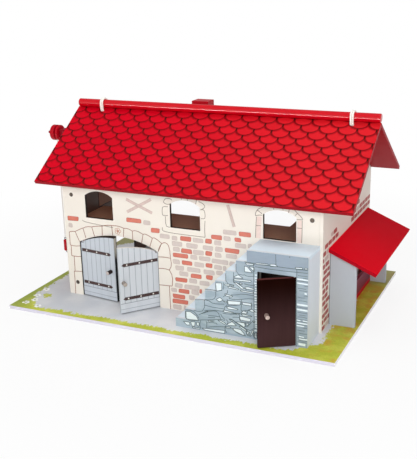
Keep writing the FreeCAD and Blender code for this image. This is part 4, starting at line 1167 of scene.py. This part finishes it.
def door_straps():
    """Dark straps with pale rivets on the barn doors."""
    strap_ink = printed("strap_dark", ink(66, 48, 47))
    rivet = painted("rivet_pale", ink(236, 232, 226), 0.4)
    for name, joint, turn, way in (("left", "left_door_swing", LEFT_DOOR_TURN, 1),
                                   ("right", "right_door_swing", RIGHT_DOOR_TURN, -1)):
        spin = Matrix.Rotation(math.radians(turn), 3, "Z")
        along = spin @ (RIGHT * way)
        outward = spin @ FRONT
        pivot = Vector(joints[joint]["pos_m"])
        pivot.z = 0
        origin = pivot + outward * LEAF_HALF
        straps = Print(origin, along, outward)
        heads = bmesh.new()
        for height in STRAP_HEIGHTS:
            straps.plate([(reach, height + off) for reach, off in STRAP_OUTLINE])
            for reach in RIVET_REACHES:
                spot = origin + along * (reach * MM) + UP * (height * MM) + outward * INK
                dome(heads, spot, outward, RIVET_RADIUS)
        straps.build(name + "_door_straps", name + "_door", strap_ink, "door_blue")
        piece(name + "_door_rivets", heads, name + "_door", rivet)


def dome(mesh, place, outward, radius):
    """Low round head."""
    side = outward.cross(UP).normalized()
    other = outward.cross(side)
    rings = []
    for lift, wide in RIVET_PROFILE:
        ring = []
        for i in range(RIVET_SIDES):
            angle = 2 * math.pi * i / RIVET_SIDES
            aside = (side * math.cos(angle) + other * math.sin(angle)) * (radius * wide)
            ring.append(mesh.verts.new(place + aside + outward * (radius * lift)))
        rings.append(ring)
    for low, high in zip(rings, rings[1:]):
        for i in range(RIVET_SIDES):
            mesh.faces.new((low[i - 1], low[i], high[i], high[i - 1]))
    mesh.faces.new(rings[-1])
    mesh.faces.new(rings[0][::-1])
    bmesh.ops.recalc_face_normals(mesh, faces=mesh.faces[:])


def yard_flowers():
    """Small white flowers printed in the grass at the left."""
    rng = random.Random(3)
    ground = (Vector((0, 0, BASE_HIGH.z)), RIGHT, UP, Vector((0, 1, 0)))
    petals = Print(*ground)
    hearts = Print(*ground)
    for across, depth in FLOWERS:
        for i in range(FLOWER_PETALS):
            angle = 2 * math.pi * i / FLOWER_PETALS + rng.uniform(-0.3, 0.3)
            reach = rng.uniform(3.2, 4.2)
            spot = (across + reach * math.cos(angle), depth + reach * math.sin(angle))
            petals.plate(ring_points(spot[0], spot[1], rng.uniform(1.9, 2.4), 9))
        hearts.plate(ring_points(across, depth, 1.4, 9))
    petals.build("yard_flower_petals", "barn", printed("petal_white", ink(246, 247, 244)), "base_print")
    hearts.build("yard_flower_hearts", "barn", printed("heart_grey", ink(176, 180, 168)), "base_print")


def spline_points(points, resolution=12):
    """Points along a smooth route: those of a spline with the given control points."""
    data = bpy.data.curves.new("route", "CURVE")
    data.dimensions = "3D"
    data.resolution_u = resolution
    spline = data.splines.new("NURBS")
    spline.points.add(len(points) - 1)
    for slot, place in zip(spline.points, points):
        slot.co = (*place, 1)
    spline.order_u = 3
    spline.use_endpoint_u = True
    holder = bpy.data.objects.new("route", data)
    bpy.context.scene.collection.objects.link(holder)
    bpy.context.view_layer.update()
    mesh = bpy.data.meshes.new_from_object(holder)
    line = [vertex.co.copy() for vertex in mesh.vertices]
    bpy.data.objects.remove(holder)
    bpy.data.curves.remove(data)
    bpy.data.meshes.remove(mesh)
    return line


def rope(mesh, line, radius, pitch, sides):
    """Twisted cord along a line: a lobed section that turns as it goes."""
    run = 0.0
    side = None
    last = None
    for i, here in enumerate(line):
        ahead = (line[min(i + 1, len(line) - 1)] - line[max(i - 1, 0)]).normalized()
        if side is None:
            side = ahead.orthogonal().normalized()
        side = (side - ahead * side.dot(ahead)).normalized()
        other = ahead.cross(side)
        if i:
            run += (here - line[i - 1]).length
        turn = 2 * math.pi * run / pitch
        ring = []
        for k in range(sides):
            angle = 2 * math.pi * k / sides
            lobe = 0.88 + 0.12 * abs(math.cos(STRANDS * (angle - turn) / 2))
            spot = here + (side * math.cos(angle) + other * math.sin(angle)) * (radius * lobe)
            ring.append(mesh.verts.new(spot))
        if last:
            for k in range(sides):
                mesh.faces.new((last[k - 1], last[k], ring[k], ring[k - 1]))
        else:
            mesh.faces.new(ring[::-1])
        last = ring
    mesh.faces.new(last)


def helix(base, axis, radius, height, turns, count):
    """Points of a short winding about an axis."""
    side = axis.orthogonal().normalized()
    other = axis.cross(side)
    line = []
    for i in range(count):
        share = i / (count - 1)
        angle = 2 * math.pi * turns * share
        aside = (side * math.cos(angle) + other * math.sin(angle)) * radius
        line.append(base + axis * (height * share) + aside)
    return line


def cord_piece(name, mesh, body, material):
    """Ends a mesh of cords as one smooth piece, riding on a body if one is named."""
    bmesh.ops.recalc_face_normals(mesh, faces=mesh.faces[:])
    obj = piece(name, mesh, body, material)
    obj.data.polygons.foreach_set("use_smooth", [True] * len(obj.data.polygons))
    return obj


def roof_ties(material):
    """Twin cords over the ridge pole, each in two halves that follow their roof panel."""
    for name, middle in (("left", TIE_LEFT_X), ("right", TIE_RIGHT_X)):
        for half, sign, panel in (("front", -1, "front_roof"), ("back", 1, "back_roof")):
            mesh = bmesh.new()
            down = Vector((0, -sign * math.sin(ROOF_SLOPE), -math.cos(ROOF_SLOPE)))
            bend = Vector((0, RIDGE_Y + sign * TIE_REACH, TIE_BEND_Z))
            for strand in (-1, 1):
                shift = RIGHT * (middle + strand * TIE_HALF_GAP)
                corner = Vector((0, RIDGE_Y + sign * TIE_REACH, POLE_Z + TIE_REACH))
                crown = Vector((0, RIDGE_Y, POLE_Z + TIE_REACH))
                route = [crown, corner, bend, bend + down * TIE_STRAIGHT, bend + down * TIE_END]
                rope(mesh, spline_points([p + shift for p in route]), TIE_RADIUS, TIE_PITCH, TIE_SIDES)
            knot = bend + down * (TIE_KNOT + TIE_RADIUS) + RIGHT * middle
            turns = helix(knot, down, TIE_KNOT_RADIUS, TIE_KNOT_HEIGHT, 1.7, 34)
            rope(mesh, turns, TIE_RADIUS, TIE_PITCH, TIE_SIDES)
            tie = cord_piece(f"roof_tie_{name}_{half}", mesh, None, material)
            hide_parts(f"roof_tie_{name}")
            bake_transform(tie)


def pole_bead(material):
    """Paint bead that closes the hairline between the pole and the roof's ridge."""
    mesh = bmesh.new()
    angles = [math.radians(190 + 10 * i) for i in range(17)]
    ends = []
    for across in (POLE_LOW.x + BEAD_INSET, POLE_HIGH.x - BEAD_INSET):
        section = []
        for radius in (POLE_RADIUS - BEAD_ROOT, POLE_RADIUS + BEAD_THICKNESS):
            ring = [(radius * math.cos(a), radius * math.sin(a)) for a in angles]
            row = [mesh.verts.new((across, RIDGE_Y + y, POLE_Z + z)) for y, z in ring]
            section += row if radius < POLE_RADIUS else row[::-1]
        ends.append(section)
    first, last = ends
    mesh.faces.new(first)
    mesh.faces.new(last[::-1])
    for i in range(len(first)):
        mesh.faces.new((first[i - 1], first[i], last[i], last[i - 1]))
    bmesh.ops.recalc_face_normals(mesh, faces=mesh.faces[:])
    piece("ridge_pole_bead", mesh, "barn", material)


def hoist_rope(material):
    """Cord that hangs from the wheel to the hook, and its turn in the groove."""
    top = Vector((HOIST_X, RIDGE_Y - WRAP_RADIUS, HOIST_Z))
    eye = Vector((HOIST_X, RIDGE_Y - WRAP_RADIUS, HOOK_TOP_Z))
    ease = UP * CORD_EASE
    line = spline_points([top, top - ease, eye + ease, eye], 60)
    mesh = bmesh.new()
    rope(mesh, line, CORD_RADIUS, CORD_PITCH, CORD_SIDES)
    cord = cord_piece("hoist_cord_rope", mesh, "barn", material)
    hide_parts("hoist_cord")
    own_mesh(cord)

    axle = Vector((HOIST_X, RIDGE_Y, HOIST_Z))
    corner_reach = WRAP_RADIUS / math.cos(WRAP_STEP / 2)
    corners = [axle + FRONT * WRAP_RADIUS]
    steps = int(WRAP_TURN / WRAP_STEP)
    for i in range(steps):
        angle = WRAP_STEP * (i + 0.5)
        corners.append(axle + (FRONT * math.cos(angle) + UP * math.sin(angle)) * corner_reach)
    corners.append(axle + (FRONT * math.cos(WRAP_TURN) + UP * math.sin(WRAP_TURN)) * WRAP_RADIUS)
    mesh = bmesh.new()
    rope(mesh, spline_points(corners), CORD_RADIUS, CORD_PITCH, CORD_SIDES)
    out = FRONT * math.cos(WRAP_TURN) + UP * math.sin(WRAP_TURN)
    knot = axle + out * WRAP_RADIUS - RIGHT * (WRAP_KNOT_LENGTH / 2)
    turns = helix(knot, RIGHT, WRAP_KNOT_RADIUS, WRAP_KNOT_LENGTH, 1.5, 22)
    rope(mesh, turns, WRAP_KNOT_CORD, CORD_PITCH, CORD_SIDES)
    wrap = cord_piece("hoist_wrap_rope", mesh, "wheel", material)
    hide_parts("hoist_wrap")


def white_floor():
    """White floor that keeps a soft shadow near the barn."""
    mesh = bmesh.new()
    bmesh.ops.create_grid(mesh, x_segments=1, y_segments=1, size=FLOOR_HALF)
    data = bpy.data.meshes.new("floor")
    mesh.to_mesh(data)
    mesh.free()
    floor = bpy.data.objects.new("floor", data)
    floor.location.z = -FLOOR_DROP
    bpy.context.scene.collection.objects.link(floor)
    material = bpy.data.materials.new("floor_white")
    material.use_nodes = True
    tree = material.node_tree
    tree.nodes.clear()
    out = tree.nodes.new("ShaderNodeOutputMaterial")
    diffuse = tree.nodes.new("ShaderNodeBsdfDiffuse")
    diffuse.inputs["Color"].default_value = (0.86, 0.86, 0.86, 1)
    glow = tree.nodes.new("ShaderNodeEmission")
    glow.inputs["Strength"].default_value = 1.0
    mix = tree.nodes.new("ShaderNodeMixShader")
    path = tree.nodes.new("ShaderNodeLightPath")
    seen = Field(tree, path.outputs["Is Camera Ray"]).most(Field(tree, path.outputs["Is Glossy Ray"]))
    place = tree.nodes.new("ShaderNodeTexCoord")
    length = tree.nodes.new("ShaderNodeVectorMath")
    length.operation = "LENGTH"
    tree.links.new(place.outputs["Object"], length.inputs[0])
    far = Field(tree, length.outputs["Value"]).rise(SHADOW_NEAR, SHADOW_FAR)
    seen = seen * (far * 0.15 + 0.85)
    tree.links.new(seen.socket, mix.inputs[0])
    tree.links.new(diffuse.outputs[0], mix.inputs[1])
    tree.links.new(glow.outputs[0], mix.inputs[2])
    tree.links.new(mix.outputs[0], out.inputs[0])
    data.materials.append(material)


def pale_world():
    """White surroundings that light the barn from low down more than from above."""
    world = bpy.data.worlds.new("studio")
    bpy.context.scene.world = world
    world.use_nodes = True
    tree = world.node_tree
    background = tree.nodes["Background"]
    path = tree.nodes.new("ShaderNodeLightPath")
    camera_ray = Field(tree, path.outputs["Is Camera Ray"])
    seen = camera_ray.most(Field(tree, path.outputs["Is Transmission Ray"]))
    ways = tree.nodes.new("ShaderNodeTexCoord")
    split = tree.nodes.new("ShaderNodeSeparateXYZ")
    tree.links.new(ways.outputs["Generated"], split.inputs[0])
    sky = Field(tree, split.outputs[2]).rise(0.7, 0.05) * 0.45 + 0.3
    strength = seen.invert() * sky + seen
    background.inputs["Color"].default_value = (1, 1, 1, 1)
    tree.links.new(strength.socket, background.inputs["Strength"])


def studio_lamps():
    """Softboxes, and a card that shows only as a gleam on glossy paint."""
    for values in LAMPS:
        lamp(*values)
    card = lamp(*CARD)
    card.visible_diffuse = False
    card.visible_glossy = True


def lamp(name, place, target, size, power):
    """Softbox aimed at a target, not seen by the camera or in reflections."""
    light = bpy.data.lights.new(name, "AREA")
    light.shape = "RECTANGLE"
    light.size, light.size_y = size
    light.energy = power
    obj = bpy.data.objects.new(name, light)
    obj.location = place
    obj.rotation_euler = (Vector(target) - Vector(place)).to_track_quat("-Z", "Y").to_euler()
    obj.visible_camera = False
    obj.visible_glossy = False
    bpy.context.scene.collection.objects.link(obj)
    return obj


def camera():
    """Camera at the photograph's place and angles."""
    flat = math.cos(CAMERA_PITCH)
    ahead = Vector((-math.sin(CAMERA_YAW) * flat, math.cos(CAMERA_YAW) * flat, -math.sin(CAMERA_PITCH)))
    level = Vector((math.cos(CAMERA_YAW), math.sin(CAMERA_YAW), 0))
    above = level.cross(ahead)
    side = level * math.cos(CAMERA_ROLL) + above * math.sin(CAMERA_ROLL)
    top = above * math.cos(CAMERA_ROLL) - level * math.sin(CAMERA_ROLL)
    data = bpy.data.cameras.new("photo")
    data.sensor_width = SENSOR
    data.lens = FOCAL_PIXELS * SENSOR / FRAME_LONG_SIDE
    obj = bpy.data.objects.new("photo", data)
    turn = Matrix((side, top, -ahead)).transposed()
    obj.matrix_world = Matrix.Translation(CAMERA_PLACE) @ turn.to_4x4()
    bpy.context.scene.collection.objects.link(obj)
    bpy.context.scene.camera = obj


bpy.context.scene.view_settings.view_transform = "Standard"
camera()
cord_white = twisted_cord("cord_white", ink(250, 246, 238))
hoist_rope(cord_white)
roof_ties(cord_white)
assign_boards()
ease_edges("front_wall", "left_gable", "right_gable", "chimney", "stair_front", "stair_treads",
           "stair_risers", "landing_board", "annex_side", "lean_to_roof", "lean_to_near_side",
           "lean_to_far_side", "manger_board", "left_barn_door", "right_barn_door", "small_door",
           "loft_hatch", "base_board", "loft_floor", "hoist_beam", "corner_post_left", "corner_post_right")
front_wall_prints()
stair_prints()
gable_prints()
door_straps()
yard_flowers()
pole_bead(painted("bead_red", ink(200, 6, 26), 0.6, 0.05, 0.0))
white_floor()
pale_world()
studio_lamps()
